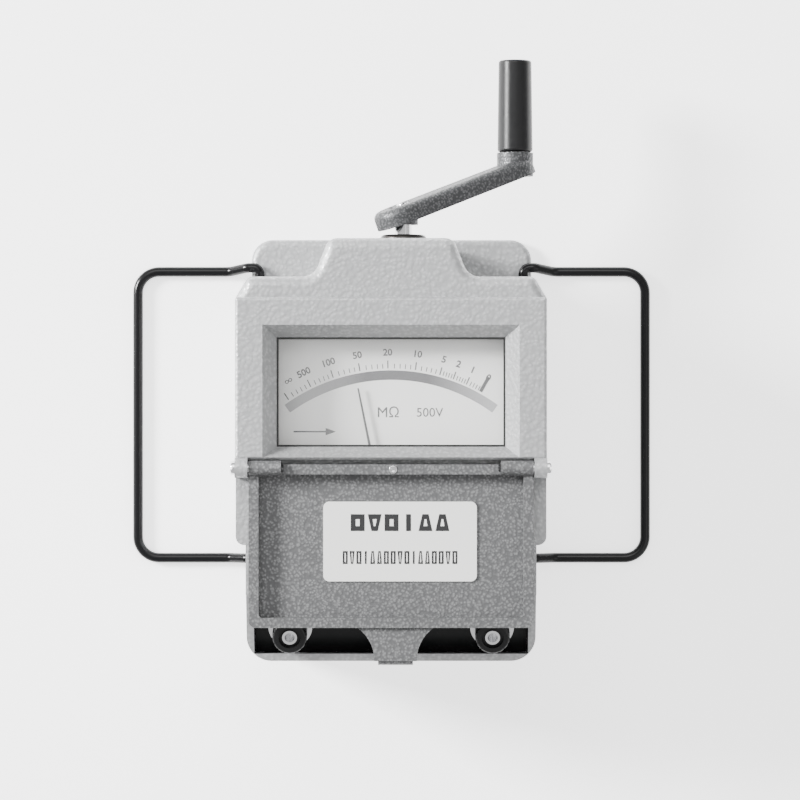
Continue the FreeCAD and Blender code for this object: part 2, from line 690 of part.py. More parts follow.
def make_top_bridge():
    bar = block(-24, 24, METER_Y - 4, METER_Y + 4, BRIDGE_Z, BRIDGE_Z + BRIDGE_T)
    bar = bar.cut(along_z(1.5, 0, METER_Y, 70, 99))
    for side in (1, -1):
        x0, x1 = sorted((side * 19.5, side * 24.0))
        bar = bar.fuse(block(x0, x1, METER_Y - 4, METER_Y + 4, METER_Z + MAGNET_H, BRIDGE_Z))
    return one_solid(bar)


def make_lower_bridge():
    low = METER_Z - 6.0
    bar = block(-24, 24, METER_Y - 4, METER_Y + 4, low, low + 1.8)
    bar = bar.cut(along_z(1.5, 0, METER_Y, 40, 99))
    for side in (1, -1):
        x0, x1 = sorted((side * 19.5, side * 24.0))
        bar = bar.fuse(block(x0, x1, METER_Y - 4, METER_Y + 4, low, METER_Z))
    return one_solid(bar)


def make_jewel_screws():
    """Pivot screws, each with a small cup for the staff's point."""
    top = along_z(1.5, 0, METER_Y, BRIDGE_Z, BRIDGE_Z + BRIDGE_T)
    top = top.cut(Part.makeCone(0.7, 0.2, 0.5, V(0, METER_Y, BRIDGE_Z)))
    low_z = METER_Z - 6.0
    low = along_z(1.5, 0, METER_Y, low_z - 1.5, low_z + 1.8)
    low = low.cut(Part.makeCone(0.2, 0.7, 0.5, V(0, METER_Y, low_z + 1.3)))
    return Part.makeCompound([top, low])


def cradle_posts():
    """Screws that hold the cradle to the case's side ledges, as (x, y)."""
    x = LOW_HALF_W - WALL - LEDGE_W / 2 - 0.7
    return [(x, METER_Y - 5), (-x, METER_Y - 5)]


def make_meter_stand():
    """Cast cradle that stands the movement on the case's side ledges."""
    low = METER_Z - METER_FOOT_T
    half = LOW_HALF_W - WALL - 0.3
    cradle = block(-half, half, METER_Y - 9, METER_Y + 9, low, METER_Z)
    cradle = cradle.fuse(along_z(MAGNET_R + 4, 0, METER_Y, low, METER_Z))
    cradle = cradle.cut(block(-24.3, 24.3, METER_Y - 4.3, METER_Y + 4.3, low - 1, METER_Z + 1))
    cradle = cradle.cut(along_z(14.5, 0, METER_Y, low - 1, METER_Z + 1))
    for x, y in cradle_posts():
        cradle = cradle.cut(along_z(M3_CLEAR_R, x, y, 0, 99))
    return one_solid(cradle)


def make_cradle_screws():
    down = V(0, 0, -1)
    return Part.makeCompound([pan_screw(V(x, y, METER_Z), down, METER_FOOT_T + 5) for x, y in cradle_posts()])


# ---- lid -------------------------------------------------------------------
def make_lid():
    """Shallow tray, drawn open: its rim faces up and its floor lies over the apron."""
    top = HINGE_Z - LID_RIM_DROP
    low = top - LID_DEPTH
    tray = rounded_plate(-LID_HALF_W, LID_HALF_W, LID_LOW_Y, LID_TOP_Y, low, top, 3.0)
    under = [e for e in tray.Edges if e.BoundBox.ZMax < low + 0.01]
    tray = tray.makeFillet(1.6, under)
    inner_half = LID_HALF_W - LID_WALL
    hollow = rounded_plate(-inner_half, inner_half, LID_LOW_Y + LID_WALL, LID_TOP_Y - LID_WALL,
                           low + LID_FLOOR, top + 1, 1.5)
    root_y = LID_LOW_Y + 1.0
    end_y = LID_LOW_Y - TAB_LEN
    flare = TAB_ROOT_HALF - TAB_END_HALF
    edges = []
    for side in (1, -1):
        root = V(TAB_X + side * TAB_ROOT_HALF, root_y, low)
        end = V(TAB_X + side * TAB_END_HALF, end_y, low)
        bow = V(TAB_X + side * (TAB_END_HALF + flare * 0.22), LID_LOW_Y - TAB_LEN * 0.42, low)
        edges.append(Part.Arc(root, bow, end).toShape())
    ends = [e.valueAt(e.LastParameter) for e in edges]
    roots = [e.valueAt(e.FirstParameter) for e in edges]
    edges += [Part.LineSegment(*ends).toShape(), Part.LineSegment(*roots).toShape()]
    outline = Part.Wire(Part.__sortEdges__(edges))
    tab = Part.Face(outline).extrude(V(0, 0, LID_DEPTH - 1.5))
    lip_half = TAB_END_HALF - 1.5
    lip_y, lip_z = end_y + 0.4, low + 2.2
    lip = rod(2.2, V(TAB_X - lip_half, lip_y, lip_z), V(TAB_X + lip_half, lip_y, lip_z))
    tray = tray.fuse(tab).fuse(lip)
    tray = tray.cut(hollow)
    for side in (1, -1):
        x0, x1 = sorted((side * EAR_INNER_X, side * LID_HALF_W))
        ear = rod(EAR_R, V(x0, HINGE_Y, HINGE_Z), V(x1, HINGE_Y, HINGE_Z))
        ear = ear.fuse(block(x0, x1, HINGE_Y - EAR_R, HINGE_Y + 1.2, low + 3, HINGE_Z))
        tray = tray.fuse(ear)
        tray = tray.cut(rod(PIN_R + PIN_FREE, V(x0 - 1, HINGE_Y, HINGE_Z), V(x1 + 1, HINGE_Y, HINGE_Z)))
    return one_solid(tray)


def make_label():
    floor = HINGE_Z - LID_RIM_DROP - LID_DEPTH + LID_FLOOR
    return rounded_plate(
        LABEL_X - LABEL_W / 2, LABEL_X + LABEL_W / 2, LABEL_Y - LABEL_H / 2, LABEL_Y + LABEL_H / 2,
        floor, floor + LABEL_T, LABEL_R)


def make_hinge_screws():
    """Shoulder screws through the bezel's lugs into the lid's ears."""
    screws = []
    for side in (1, -1):
        seat = V(side * CASE_HALF_W, HINGE_Y, HINGE_Z)
        length = CASE_HALF_W - EAR_INNER_X - 2
        screws.append(pan_screw(seat, V(-side, 0, 0), length, PIN_R + SCREW_FREE, PIN_HEAD_R, PIN_HEAD_T))
    return Part.makeCompound(screws)


# ---- steadying legs --------------------------------------------------------
def make_leg():
    """Right leg: one bent wire, hooked into the case at both ends and lying on the table."""
    x0, z0 = LEG_PIVOT_X, LEG_PIVOT_Z
    x1, x2, x3 = x0 + LEG_DROP_START, x0 + LEG_DROP_END, x0 + LEG_REACH
    points = [
        V(x0, SHOULDER_Y - LEG_BED, z0), V(x0, LEG_TOP_Y, z0), V(x1, LEG_TOP_Y, z0),
        V(x2, LEG_TOP_Y - 1.5, LEG_R),
        V(x3, LEG_TOP_Y - 1.5, LEG_R), V(x3, LEG_LOW_Y, LEG_R), V(x2, LEG_LOW_Y, LEG_R), V(x1, LEG_LOW_Y, z0),
        V(x0, LEG_LOW_Y, z0), V(x0, LOW_STEP_Y + LEG_BED, z0),
    ]
    hook, drop = 2.6, 3.0
    radii = [hook, drop, 6.0, LEG_CORNER_R, LEG_CORNER_R, 6.0, drop, hook]
    return round_bar(points, radii, LEG_R)


# ---- crank -----------------------------------------------------------------
def laid_at_rest(shape):
    """Turns a crank piece drawn level, towards +X, to its resting angle."""
    return turned(shape, V(CRANK_X, 0, CRANK_Z), V(0, 1, 0), -CRANK_REST_DEG)


def arm_slab(grow, low, high):
    """Part of the sloping arm: a tapered strip with round ends, from low to high above its inner face."""
    hub_r, end_r = ARM_HUB_R + grow, ARM_END_R + grow
    spread = math.acos((hub_r - end_r) / CRANK_R)
    c, s = math.cos(spread), math.sin(spread)
    long = math.hypot(CRANK_R, ARM_RISE)
    hub_up, hub_down = V(hub_r * c, hub_r * s, 0), V(hub_r * c, -hub_r * s, 0)
    end_up, end_down = V(long + end_r * c, end_r * s, 0), V(long + end_r * c, -end_r * s, 0)
    edges = [
        Part.LineSegment(hub_up, end_up).toShape(),
        Part.Arc(end_up, V(long + end_r, 0, 0), end_down).toShape(),
        Part.LineSegment(end_down, hub_down).toShape(),
        Part.Arc(hub_down, V(-hub_r, 0, 0), hub_up).toShape(),
    ]
    slab = Part.Face(Part.Wire(edges)).extrude(V(0, 0, high - low))
    slab.translate(V(0, 0, low))
    slab.rotate(V(0, 0, 0), V(1, 0, 0), -90)
    slab.rotate(V(0, 0, 0), V(0, 0, 1), math.degrees(math.atan2(ARM_RISE, CRANK_R)))
    slab.translate(V(CRANK_X, HUB_Y - ARM_RIM - ARM_DOME, CRANK_Z))
    return slab


def make_crank_arm():
    """Sloping cast arm, hollow underneath, with a round boss at each end."""
    tall = ARM_RIM + ARM_DOME
    arm = arm_slab(0, 0, tall)
    arm = arm.makeFillet(ARM_DOME, [e for e in outer_edges_of(arm)])
    arm = arm.cut(arm_slab(-ARM_WALL, -1, ARM_HOLLOW))
    inner_y = HUB_Y - tall
    hub = along_y(HUB_BOSS_R, CRANK_X, CRANK_Z, inner_y - 1.0, HUB_Y - 1.2)
    end_x = CRANK_X + CRANK_R
    seat_y = inner_y + ARM_RISE
    end = along_y(ARM_END_R - 1.5, end_x, CRANK_Z, seat_y + 1.0, grip_foot_y() - GRIP_GAP)
    arm = arm.fuse(hub).fuse(end)
    arm = arm.cut(along_y(SHAFT_R + 0.02, CRANK_X, CRANK_Z, 0, HUB_Y - 3.2))
    arm = arm.cut(along_y(M3_CLEAR_R, CRANK_X, CRANK_Z, 0, HUB_Y + 9))
    arm = arm.cut(along_y(M3_HEAD_R + 0.2, CRANK_X, CRANK_Z, HUB_Y - 1.2, HUB_Y + 12))
    arm = arm.cut(along_y(GRIP_CORE_R + 0.02, end_x, CRANK_Z, seat_y - 20, 160))
    return laid_at_rest(one_solid(arm))


def outer_edges_of(arm):
    """Edges round the arm's outer, domed face."""
    way = V(-ARM_RISE, CRANK_R, 0).normalize()
    flat = [f for f in arm.Faces if f.Surface.TypeId == "Part::GeomPlane"]
    face = max(flat, key=lambda f: f.CenterOfMass.dot(way))
    return face.Edges


def grip_foot_y():
    return HUB_Y + ARM_RISE + 3.8


def make_crank_shaft():
    """Driving shaft, with a threaded hole for the hub screw in its outer end."""
    shaft = along_y(SHAFT_R, CRANK_X, CRANK_Z, REAR_PLATE_Y - 2.0, HUB_Y - 3.4)
    return shaft.cut(along_y(M3_TAP_R, CRANK_X, CRANK_Z, HUB_Y - 16, HUB_Y))


def make_hub_screw():
    return pan_screw(V(CRANK_X, HUB_Y - 1.2, CRANK_Z), V(0, -1, 0), 11.0)


def make_crank_bush():
    """Flanged bronze bush pressed into the nose."""
    bush = along_y(BUSH_R - 0.02, CRANK_X, CRANK_Z, CASE_TOP_Y - WALL - 4, CASE_TOP_Y)
    flange = along_y(FLANGE_R, CRANK_X, CRANK_Z, CASE_TOP_Y, CASE_TOP_Y + FLANGE_T)
    outer_y = CASE_TOP_Y + FLANGE_T - 0.01
    rim = [e for e in flange.Edges if e.BoundBox.YMin > outer_y and len(e.Vertexes) == 1]
    flange = flange.makeFillet(FLANGE_T * 0.7, rim)
    return one_solid(bush.fuse(flange).cut(along_y(SHAFT_R + SHAFT_FREE, CRANK_X, CRANK_Z, 70, 120)))


def make_grip():
    """Turned handle with a slight taper, free to spin on its spindle."""
    x = CRANK_X + CRANK_R
    y0 = grip_foot_y()
    grip = Part.makeCone(GRIP_R, GRIP_END_R, GRIP_LEN, V(x, y0, CRANK_Z), V(0, 1, 0))
    grip = grip.makeFillet(GRIP_EDGE_R, [e for e in grip.Edges if len(e.Vertexes) == 1])
    grip = grip.cut(along_y(GRIP_CORE_R + SHAFT_FREE, x, CRANK_Z, y0 - 1, y0 + GRIP_LEN + 1))
    recess = along_y(GRIP_CORE_R + 2.3, x, CRANK_Z, y0 + GRIP_LEN - 2.2, y0 + GRIP_LEN + 1)
    return laid_at_rest(one_solid(grip.cut(recess)))


def make_grip_spindle():
    """Riveted spindle with a flat head that keeps the grip on."""
    x = CRANK_X + CRANK_R
    y1 = grip_foot_y() + GRIP_LEN - 2.2
    pin = along_y(GRIP_CORE_R, x, CRANK_Z, grip_foot_y() - 9.0, y1 + 0.3)
    head = along_y(GRIP_CORE_R + 1.8, x, CRANK_Z, y1 + 0.3, y1 + 1.8)
    return laid_at_rest(one_solid(pin.fuse(head)))


# ---- gears -----------------------------------------------------------------
def mid_axis():
    """Middle arbor's (x, z)."""
    reach = MODULE * (DRIVE_TEETH + PINION_TEETH) / 2
    angle = math.radians(MID_DEG)
    return CRANK_X + reach * math.cos(angle), CRANK_Z + reach * math.sin(angle)


def rotor_axis():
    """Generator shaft's (x, z)."""
    reach = MODULE * (SECOND_TEETH + ROTOR_TEETH) / 2
    angle = math.radians(ROTOR_DEG)
    x, z = mid_axis()
    return x + reach * math.cos(angle), z + reach * math.sin(angle)


def gear(teeth, bore_r, axis, y0, thickness, tooth_at):
    """Involute spur gear about a Y axis, one tooth's middle at tooth_at degrees from +X to +Z."""
    pitch_r = MODULE * teeth / 2
    base_r = pitch_r * math.cos(math.radians(20))
    tip_r = pitch_r + 0.85 * MODULE
    root_r = pitch_r - 1.2 * MODULE
    half_tooth = math.pi / (2 * teeth) - BACKLASH / (4 * pitch_r)
    involute = lambda r: math.tan(math.acos(base_r / r)) - math.acos(base_r / r)
    foot_r = max(base_r, root_r + 0.05)
    steps = [foot_r + (tip_r - foot_r) * k / 4 for k in range(5)]
    half_angles = [half_tooth + involute(pitch_r) - involute(max(r, base_r)) for r in steps]
    outline = []
    for tooth in range(teeth):
        middle = math.radians(tooth_at) + 2 * math.pi * tooth / teeth
        flank = [(root_r, half_angles[0])] + list(zip(steps, half_angles))
        for r, a in flank:
            outline.append((r, middle - a))
        for r, a in reversed(flank):
            outline.append((r, middle + a))
    points = [V(r * math.cos(a), 0, r * math.sin(a)) for r, a in outline]
    x, z = axis
    body = Part.Face(polygon(points)).extrude(V(0, thickness, 0))
    body.translate(V(x, y0, z))
    return body.cut(along_y(bore_r, x, z, y0 - 1, y0 + thickness + 1))


def mesh_angle(teeth, toward, partner_teeth, partner_tooth_at, contact):
    """Tooth angle that puts a gap of this gear on its partner's tooth along the line of centres.

    contact is the direction from the partner to this gear; toward is the way back."""
    phase = (contact - partner_tooth_at) * partner_teeth / 360.0
    fraction = phase - math.floor(phase)
    return toward + (0.5 + fraction) * 360.0 / teeth


def second_tooth_at():
    return 0.0


def make_drive_gear():
    wheel = gear(DRIVE_TEETH, SHAFT_R, (CRANK_X, CRANK_Z), DRIVE_Y, DRIVE_T, 0.0)
    hub = along_y(8.0, CRANK_X, CRANK_Z, DRIVE_Y - 4, DRIVE_Y).cut(along_y(SHAFT_R, CRANK_X, CRANK_Z, 40, 70))
    wheel = wheel.fuse(hub)
    for k in range(5):
        a = math.radians(72 * k + 36)
        x, z = CRANK_X + 15.2 * math.cos(a), CRANK_Z + 15.2 * math.sin(a)
        wheel = wheel.cut(along_y(4.4, x, z, DRIVE_Y - 1, DRIVE_Y + 9))
    return one_solid(wheel)


def make_mid_arbor():
    x, z = mid_axis()
    at = mesh_angle(PINION_TEETH, MID_DEG + 180, DRIVE_TEETH, 0.0, MID_DEG)
    pinion = gear(PINION_TEETH, 0.5, (x, z), DRIVE_Y - 1, DRIVE_T + 2, at)
    arbor = along_y(ARBOR_R, x, z, REAR_PLATE_Y, FRONT_PLATE_Y + PLATE_T)
    return one_solid(pinion.fuse(arbor))


def make_second_gear():
    wheel = gear(SECOND_TEETH, ARBOR_R, mid_axis(), SECOND_Y, SECOND_T, second_tooth_at())
    x, z = mid_axis()
    hub = along_y(5.0, x, z, SECOND_Y - 2.5, SECOND_Y).cut(along_y(ARBOR_R, x, z, 30, 70))
    wheel = wheel.fuse(hub)
    for k in range(5):
        a = math.radians(72 * k)
        wheel = wheel.cut(along_y(
            3.4, x + 12 * math.cos(a), z + 12 * math.sin(a), SECOND_Y - 1, SECOND_Y + 9))
    return one_solid(wheel)


def make_rotor_shaft():
    """Generator shaft with its pinion cut on it."""
    x, z = rotor_axis()
    at = mesh_angle(ROTOR_TEETH, ROTOR_DEG + 180, SECOND_TEETH, second_tooth_at(), ROTOR_DEG)
    pinion = gear(ROTOR_TEETH, 0.5, (x, z), SECOND_Y - 1.2, SECOND_T + 2.4, at)
    shaft = along_y(ARBOR_R, x, z, BELL_Y, FRONT_PLATE_Y + PLATE_T)
    return one_solid(pinion.fuse(shaft))


def frame_pillars():
    """Pillars between the gear plates, as (x, z)."""
    return [(-44.0, 66.0), (34.0, 66.0), (-44.0, 20.5), (34.0, 20.5)]


def frame_plate(y0):
    plate = block(-48, 38, y0, y0 + PLATE_T, 10, 70)
    plate = plate.fuse(block(-22, 24, y0, y0 + PLATE_T, 60, 87 if y0 < 50 else 90))
    for x, z in frame_pillars():
        plate = plate.cut(along_y(M3_CLEAR_R, x, z, 0, 90))
    plate = plate.cut(along_y(SHAFT_R + SHAFT_FREE, CRANK_X, CRANK_Z, 0, 90))
    for x, z in (mid_axis(), rotor_axis()):
        plate = plate.cut(along_y(ARBOR_R + SHAFT_FREE, x, z, 0, 90))
    return plate


def make_front_gear_plate():
    plate = frame_plate(FRONT_PLATE_Y)
    for x, z in gear_posts():
        plate = plate.cut(along_y(M3_CLEAR_R, x, z, 0, 90))
    return one_solid(plate)


def make_rear_gear_plate():
    plate = frame_plate(REAR_PLATE_Y)
    plate = plate.cut(block(-30, 30, 0, 90, 71, 95))
    x, z = rotor_axis()
    for dx, dz in stator_bolts():
        plate = plate.cut(along_y(1.3, x + dx, z + dz, 0, 90))
    return one_solid(plate)


def make_gear_pillars():
    pillars = []
    for x, z in frame_pillars():
        pillar = along_y(PILLAR_R, x, z, REAR_PLATE_Y + PLATE_T, FRONT_PLATE_Y)
        pillars.append(pillar.cut(along_y(M3_TAP_R, x, z, 0, 90)))
    return Part.makeCompound(pillars)


def make_pillar_screws():
    screws = []
    for x, z in frame_pillars():
        screws.append(pan_screw(V(x, REAR_PLATE_Y, z), V(0, 1, 0), 10.0))
        screws.append(pan_screw(V(x, FRONT_PLATE_Y + PLATE_T, z), V(0, -1, 0), 10.0, head_h=0.9))
    return Part.makeCompound(screws)


def make_frame_screws():
    ahead = V(0, 1, 0)
    return Part.makeCompound([pan_screw(V(x, FRONT_PLATE_Y, z), ahead, 10.0) for x, z in gear_posts()])


# ---- generator -------------------------------------------------------------
def stator_bolts():
    """Through bolts of the generator, from its shaft, as (x, z)."""
    r = STATOR_R - 2.2
    c = r * math.sqrt(0.5)
    return [(c, c), (-c, c), (c, -c), (-c, -c)]


def pole(width, r0, r1, y0, y1, degrees):
    x, z = rotor_axis()
    bar = block(x + r0, x + r1, y0, y1, z - width / 2, z + width / 2)
    return turned(bar, V(x, 0, z), V(0, 1, 0), degrees)


def make_stator_core():
    x, z = rotor_axis()
    y0, y1 = STACK_Y, STACK_Y + STACK_LEN
    core = along_y(STATOR_R, x, z, y0, y1).cut(along_y(STATOR_R - 4.4, x, z, y0 - 1, y1 + 1))
    for k in range(4):
        core = core.fuse(pole(7.0, STATOR_BORE_R - 1, STATOR_R - 3, y0, y1, 90 * k))
    core = core.cut(along_y(STATOR_BORE_R, x, z, y0 - 1, y1 + 1))
    for dx, dz in stator_bolts():
        core = core.cut(along_y(1.3, x + dx, z + dz, 0, 60))
    return one_solid(core)


def make_stator_coils():
    coils = []
    for k in range(4):
        y0, y1 = STACK_Y - 3.0, STACK_Y + STACK_LEN + 3.0
        coil = pole(12.6, STATOR_BORE_R + 1.6, STATOR_R - 5.8, y0, y1, 90 * k)
        coil = coil.cut(pole(7.2, STATOR_BORE_R, STATOR_R, STACK_Y - 0.1, STACK_Y + STACK_LEN + 0.1, 90 * k))
        coils.append(one_solid(coil))
    return Part.makeCompound(coils)


def make_rotor_magnet():
    x, z = rotor_axis()
    return along_y(ROTOR_R, x, z, STACK_Y, STACK_Y + STACK_LEN).cut(along_y(ARBOR_R, x, z, -20, 60))


def make_generator_bell():
    x, z = rotor_axis()
    bell = along_y(STATOR_R, x, z, BELL_Y, BELL_Y + BELL_T)
    bell = bell.fuse(along_y(5.0, x, z, BELL_Y - 1.5, BELL_Y + BELL_T + 2))
    bell = bell.cut(along_y(ARBOR_R + SHAFT_FREE, x, z, BELL_Y - 0.4, 0))
    for dx, dz in stator_bolts():
        bell = bell.cut(along_y(1.3, x + dx, z + dz, -30, 60))
    return one_solid(bell)


def make_generator_spacers():
    x, z = rotor_axis()
    tubes = []
    for dx, dz in stator_bolts():
        for y0, y1 in ((BELL_Y + BELL_T, STACK_Y), (STACK_Y + STACK_LEN, REAR_PLATE_Y)):
            tubes.append(along_y(2.1, x + dx, z + dz, y0, y1).cut(along_y(1.3, x + dx, z + dz, -30, 60)))
    return Part.makeCompound(tubes)


def make_generator_bolts():
    x, z = rotor_axis()
    length = REAR_PLATE_Y + PLATE_T - BELL_Y - 0.5
    seats = [V(x + dx, BELL_Y, z + dz) for dx, dz in stator_bolts()]
    return Part.makeCompound([pan_screw(seat, V(0, 1, 0), length, 1.25, 2.2, 1.4) for seat in seats])


# ---- circuit board ---------------------------------------------------------
def pcb_posts():
    x, low, high = PCB_HALF_W - 4, PCB_LOW_Y + 4, PCB_HIGH_Y - 4
    return [(x, low), (-x, low), (x, high), (-x, high)]


def make_circuit_board():
    board = block(-PCB_HALF_W, PCB_HALF_W, PCB_LOW_Y, PCB_HIGH_Y, PCB_Z, PCB_Z + PCB_T)
    for x, y in pcb_posts():
        board = board.cut(along_z(1.4, x, y, 0, 20))
    return board


def make_board_screws():
    seats = [V(x, y, PCB_Z + PCB_T) for x, y in pcb_posts()]
    return Part.makeCompound([pan_screw(seat, V(0, 0, -1), 5.4, 1.2, 2.2, 1.3) for seat in seats])


def make_capacitors():
    """Three storage capacitors of the voltage multiplier."""
    top = PCB_Z + PCB_T
    return Part.makeCompound([along_z(6.5, x, -64, top, top + 18) for x in (-17, 0, 17)])


def make_diodes():
    top = PCB_Z + PCB_T + 1.4
    return Part.makeCompound([rod(1.4, V(x, -50, top), V(x, -43, top)) for x in (-20, -12, -4, 4, 12, 20)])


def make_resistors():
    top = PCB_Z + PCB_T + 1.8
    return Part.makeCompound([rod(1.8, V(x, -36, top), V(x, -26, top)) for x in (-18, -6, 6, 18)])


# ---- terminals -------------------------------------------------------------
def terminal_way():
    a = math.radians(TERMINAL_TILT)
    return V(0, -math.sin(a), math.cos(a))


def terminal_at(side, height):
    """A point on a terminal's axis, a height above the panel's face."""
    a = math.radians(TERMINAL_TILT)
    rim_z = CASE_RIM_Z + (TERMINAL_Y - RIM_SLOPE_Y) * math.tan(a)
    face = V(side * TERMINAL_X, TERMINAL_Y, rim_z - PANEL_DROP / math.cos(a))
    return face + terminal_way() * height


def terminal_rod(side, r, low, high):
    return rod(r, terminal_at(side, low), terminal_at(side, high))


WASHER_LOW = COLLAR_T + FACE_GAP
KNOB_LOW = WASHER_LOW + WASHER_DISH + FACE_GAP


def make_terminal_panel():
    inside = prism(case_outline(WALL + PANEL_GAP), 40, 120)
    inside = inside.cut(block(-80, 80, APRON_LOW_Y + 3.0, 120, 0, 140))
    plate = tilted_slab(-PANEL_DROP - PANEL_T, -PANEL_DROP).common(inside)
    back = block(-80, 80, APRON_LOW_Y + 0.4, APRON_LOW_Y + 3.0, CASE_RIM_Z - 13, CASE_RIM_Z).common(inside)
    low_edge = tilted_slab(-PANEL_DROP - PANEL_T, 40)
    panel = plate.fuse(back.common(low_edge))
    for side in (1, -1):
        panel = panel.cut(terminal_rod(side, POST_R + 0.3, -20, 20))
    for x, along in panel_posts():
        panel = panel.cut(rod(1.3, panel_point(x, along, -30), panel_point(x, along, 0)))
    return one_solid(panel)


def panel_posts():
    """Screws that hold the panel to the case's ledges, as (x, distance down the slope)."""
    x = LOW_HALF_W - WALL - LEDGE_W / 2 - 0.6
    return [(x, -12.0), (-x, -12.0)]


def panel_point(x, along, height):
    """A point over the panel: along the slope from the rim's bend, and square to the rim."""
    tilt = FreeCAD.Rotation(V(1, 0, 0), TERMINAL_TILT)
    return tilt.multVec(V(x, along, height)) + V(0, RIM_SLOPE_Y, CASE_RIM_Z)


def make_panel_screws():
    return Part.makeCompound([
        pan_screw(panel_point(x, along, -PANEL_DROP), terminal_way() * -1, PANEL_T + 3.5, 1.2, 2.3, 1.3)
        for x, along in panel_posts()])


def make_terminal_collars():
    """Fixed seats of the clamp washers."""
    return Part.makeCompound([
        terminal_rod(side, COLLAR_R, 0, COLLAR_T).cut(terminal_rod(side, POST_R + 0.3, -1, 9))
        for side in (1, -1)])


def make_terminal_post(side):
    head = hex_nut(terminal_at(side, -PANEL_T - 2.2), terminal_way(), 9.0, 2.2, 0.6)
    top = KNOB_LOW + KNOB_H - 0.6
    post = terminal_rod(side, POST_R, -PANEL_T - 9, top).fuse(head)
    return one_solid(post.cut(terminal_rod(side, SOCKET_R, top - SOCKET_DEEP, top + 1)))


def make_terminal_nuts():
    return Part.makeCompound([
        hex_nut(terminal_at(side, -PANEL_T - 5.5), terminal_way(), 9.0, 2.4, POST_R + 0.01)
        for side in (1, -1)])


def make_solder_tags():
    tags = []
    for side in (1, -1):
        tag = terminal_rod(side, 4.6, -PANEL_T - 3.1, -PANEL_T - 2.2)
        tail = Part.makeBox(3.0, 9.0, 0.9, V(-1.5, 0, 0))
        tail.rotate(V(0, 0, 0), V(1, 0, 0), TERMINAL_TILT)
        tail.translate(terminal_at(side, -PANEL_T - 3.1))
        tags.append(one_solid(tag.fuse(tail).cut(terminal_rod(side, POST_R + 0.02, -20, 0))))
    return Part.makeCompound(tags)


def make_clamp_washer(side):
    """Dished washer under the knob, with its edge turned up."""
    washer = terminal_rod(side, WASHER_R, WASHER_LOW, WASHER_LOW + WASHER_T)
    washer = washer.cut(terminal_rod(side, KNOB_R + 0.5, WASHER_LOW + WASHER_DISH, 9))
    return one_solid(washer.cut(terminal_rod(side, POST_R + POST_FREE, -5, 20)))


def make_knob(side):
    """Fluted clamping nut."""
    low, high = KNOB_LOW, KNOB_LOW + KNOB_H
    knob = terminal_rod(side, KNOB_R, low, high)
    knob = fillet(knob, 1.2, lambda e: (e.BoundBox.Center - terminal_at(side, high)).Length < 0.1)
    flutes = 16
    across = V(1, 0, 0)
    for k in range(flutes):
        out = FreeCAD.Rotation(terminal_way(), 360.0 / flutes * k).multVec(across) * (KNOB_R + 0.35)
        knob = knob.cut(rod(0.75, terminal_at(side, low + 1.6) + out, terminal_at(side, high + 1) + out))
    knob = knob.cut(terminal_rod(side, POST_R + 1.4, high - 1.6, high + 1))
    return one_solid(knob.cut(terminal_rod(side, POST_R + POST_FREE, -5, 30)))


def make_lead(side):
    """Insulated wire from a solder tag down to the circuit board."""
    tail = FreeCAD.Rotation(V(1, 0, 0), TERMINAL_TILT).multVec(V(0, 8.0, 0))
    start = terminal_at(side, -PANEL_T - 3.0) + tail
    points = [start, start + V(0, 0, -12), V(side * 38, -48, 36), V(side * 33, -52, 22),
              V(side * 31, -56, PCB_Z + PCB_T)]
    return round_bar(points, [7.0, 9.0, 9.0], 0.8)


# ---- write every piece -----------------------------------------------------
def gathered(*shapes):
    """Several pieces kept as one node."""
    return Part.makeCompound([solid for shape in shapes for solid in shape.Solids])


PIECES = {
    "case": make_case,
    "base_plate": make_base_plate,
    "base_screws": make_base_screws,
    "bezel": make_bezel,
    "bezel_screws": make_bezel_screws,
    "window_glass": make_glass,
    "glass_clips": make_glass_clips,
    "dial_plate": make_dial,
    "dial_bracket": make_dial_bracket,
    "movement_screws": lambda: gathered(make_dial_screws(), make_bracket_screws(), make_cradle_screws()),
    "meter_magnet": make_magnet,
    "pole_shoes": make_pole_shoes,
    "meter_core": make_core,
    "moving_coils": lambda: gathered(make_deflecting_coil(), make_control_coil()),
    "pivot_staff": make_staff,
    "pointer": make_pointer,
    "top_bridge": make_top_bridge,
    "lower_bridge": make_lower_bridge,
    "jewel_screws": make_jewel_screws,
    "meter_cradle": make_meter_stand,
    "lid": make_lid,
    "lid_label": make_label,
    "lid_hinge_screws": make_hinge_screws,
    "right_leg": make_leg,
    "left_leg": lambda: mirrored(make_leg()),
    "crank_arm": make_crank_arm,
    "crank_shaft": make_crank_shaft,
    "crank_hub_screw": make_hub_screw,
    "crank_bush": make_crank_bush,
    "crank_grip": make_grip,
    "grip_spindle": make_grip_spindle,
    "drive_gear": make_drive_gear,
    "middle_arbor": make_mid_arbor,
    "second_gear": make_second_gear,
    "rotor_shaft": make_rotor_shaft,
    "rotor_magnet": make_rotor_magnet,
    "front_gear_plate": make_front_gear_plate,
    "rear_gear_plate": make_rear_gear_plate,
    "gear_pillars": make_gear_pillars,
    "gear_frame_screws": lambda: gathered(make_pillar_screws(), make_frame_screws()),
    "stator_core": make_stator_core,
    "stator_coils": make_stator_coils,
    "generator_bell": make_generator_bell,
    "generator_spacers": make_generator_spacers,
    "generator_bolts": make_generator_bolts,
    "circuit_board": make_circuit_board,
    "board_screws": make_board_screws,
    "capacitors": make_capacitors,
    "board_parts": lambda: gathered(make_diodes(), make_resistors()),
    "terminal_panel": make_terminal_panel,
    "panel_screws": make_panel_screws,
    "terminal_collars": make_terminal_collars,
    "terminal_posts": lambda: gathered(make_terminal_post(1), make_terminal_post(-1)),
    "terminal_fixings": lambda: gathered(make_terminal_nuts(), make_solder_tags()),
    "right_washer": lambda: make_clamp_washer(1),
    "left_washer": lambda: make_clamp_washer(-1),
    "right_knob": lambda: make_knob(1),
    "left_knob": lambda: make_knob(-1),
    "internal_leads": lambda: gathered(make_lead(1), make_lead(-1)),
}

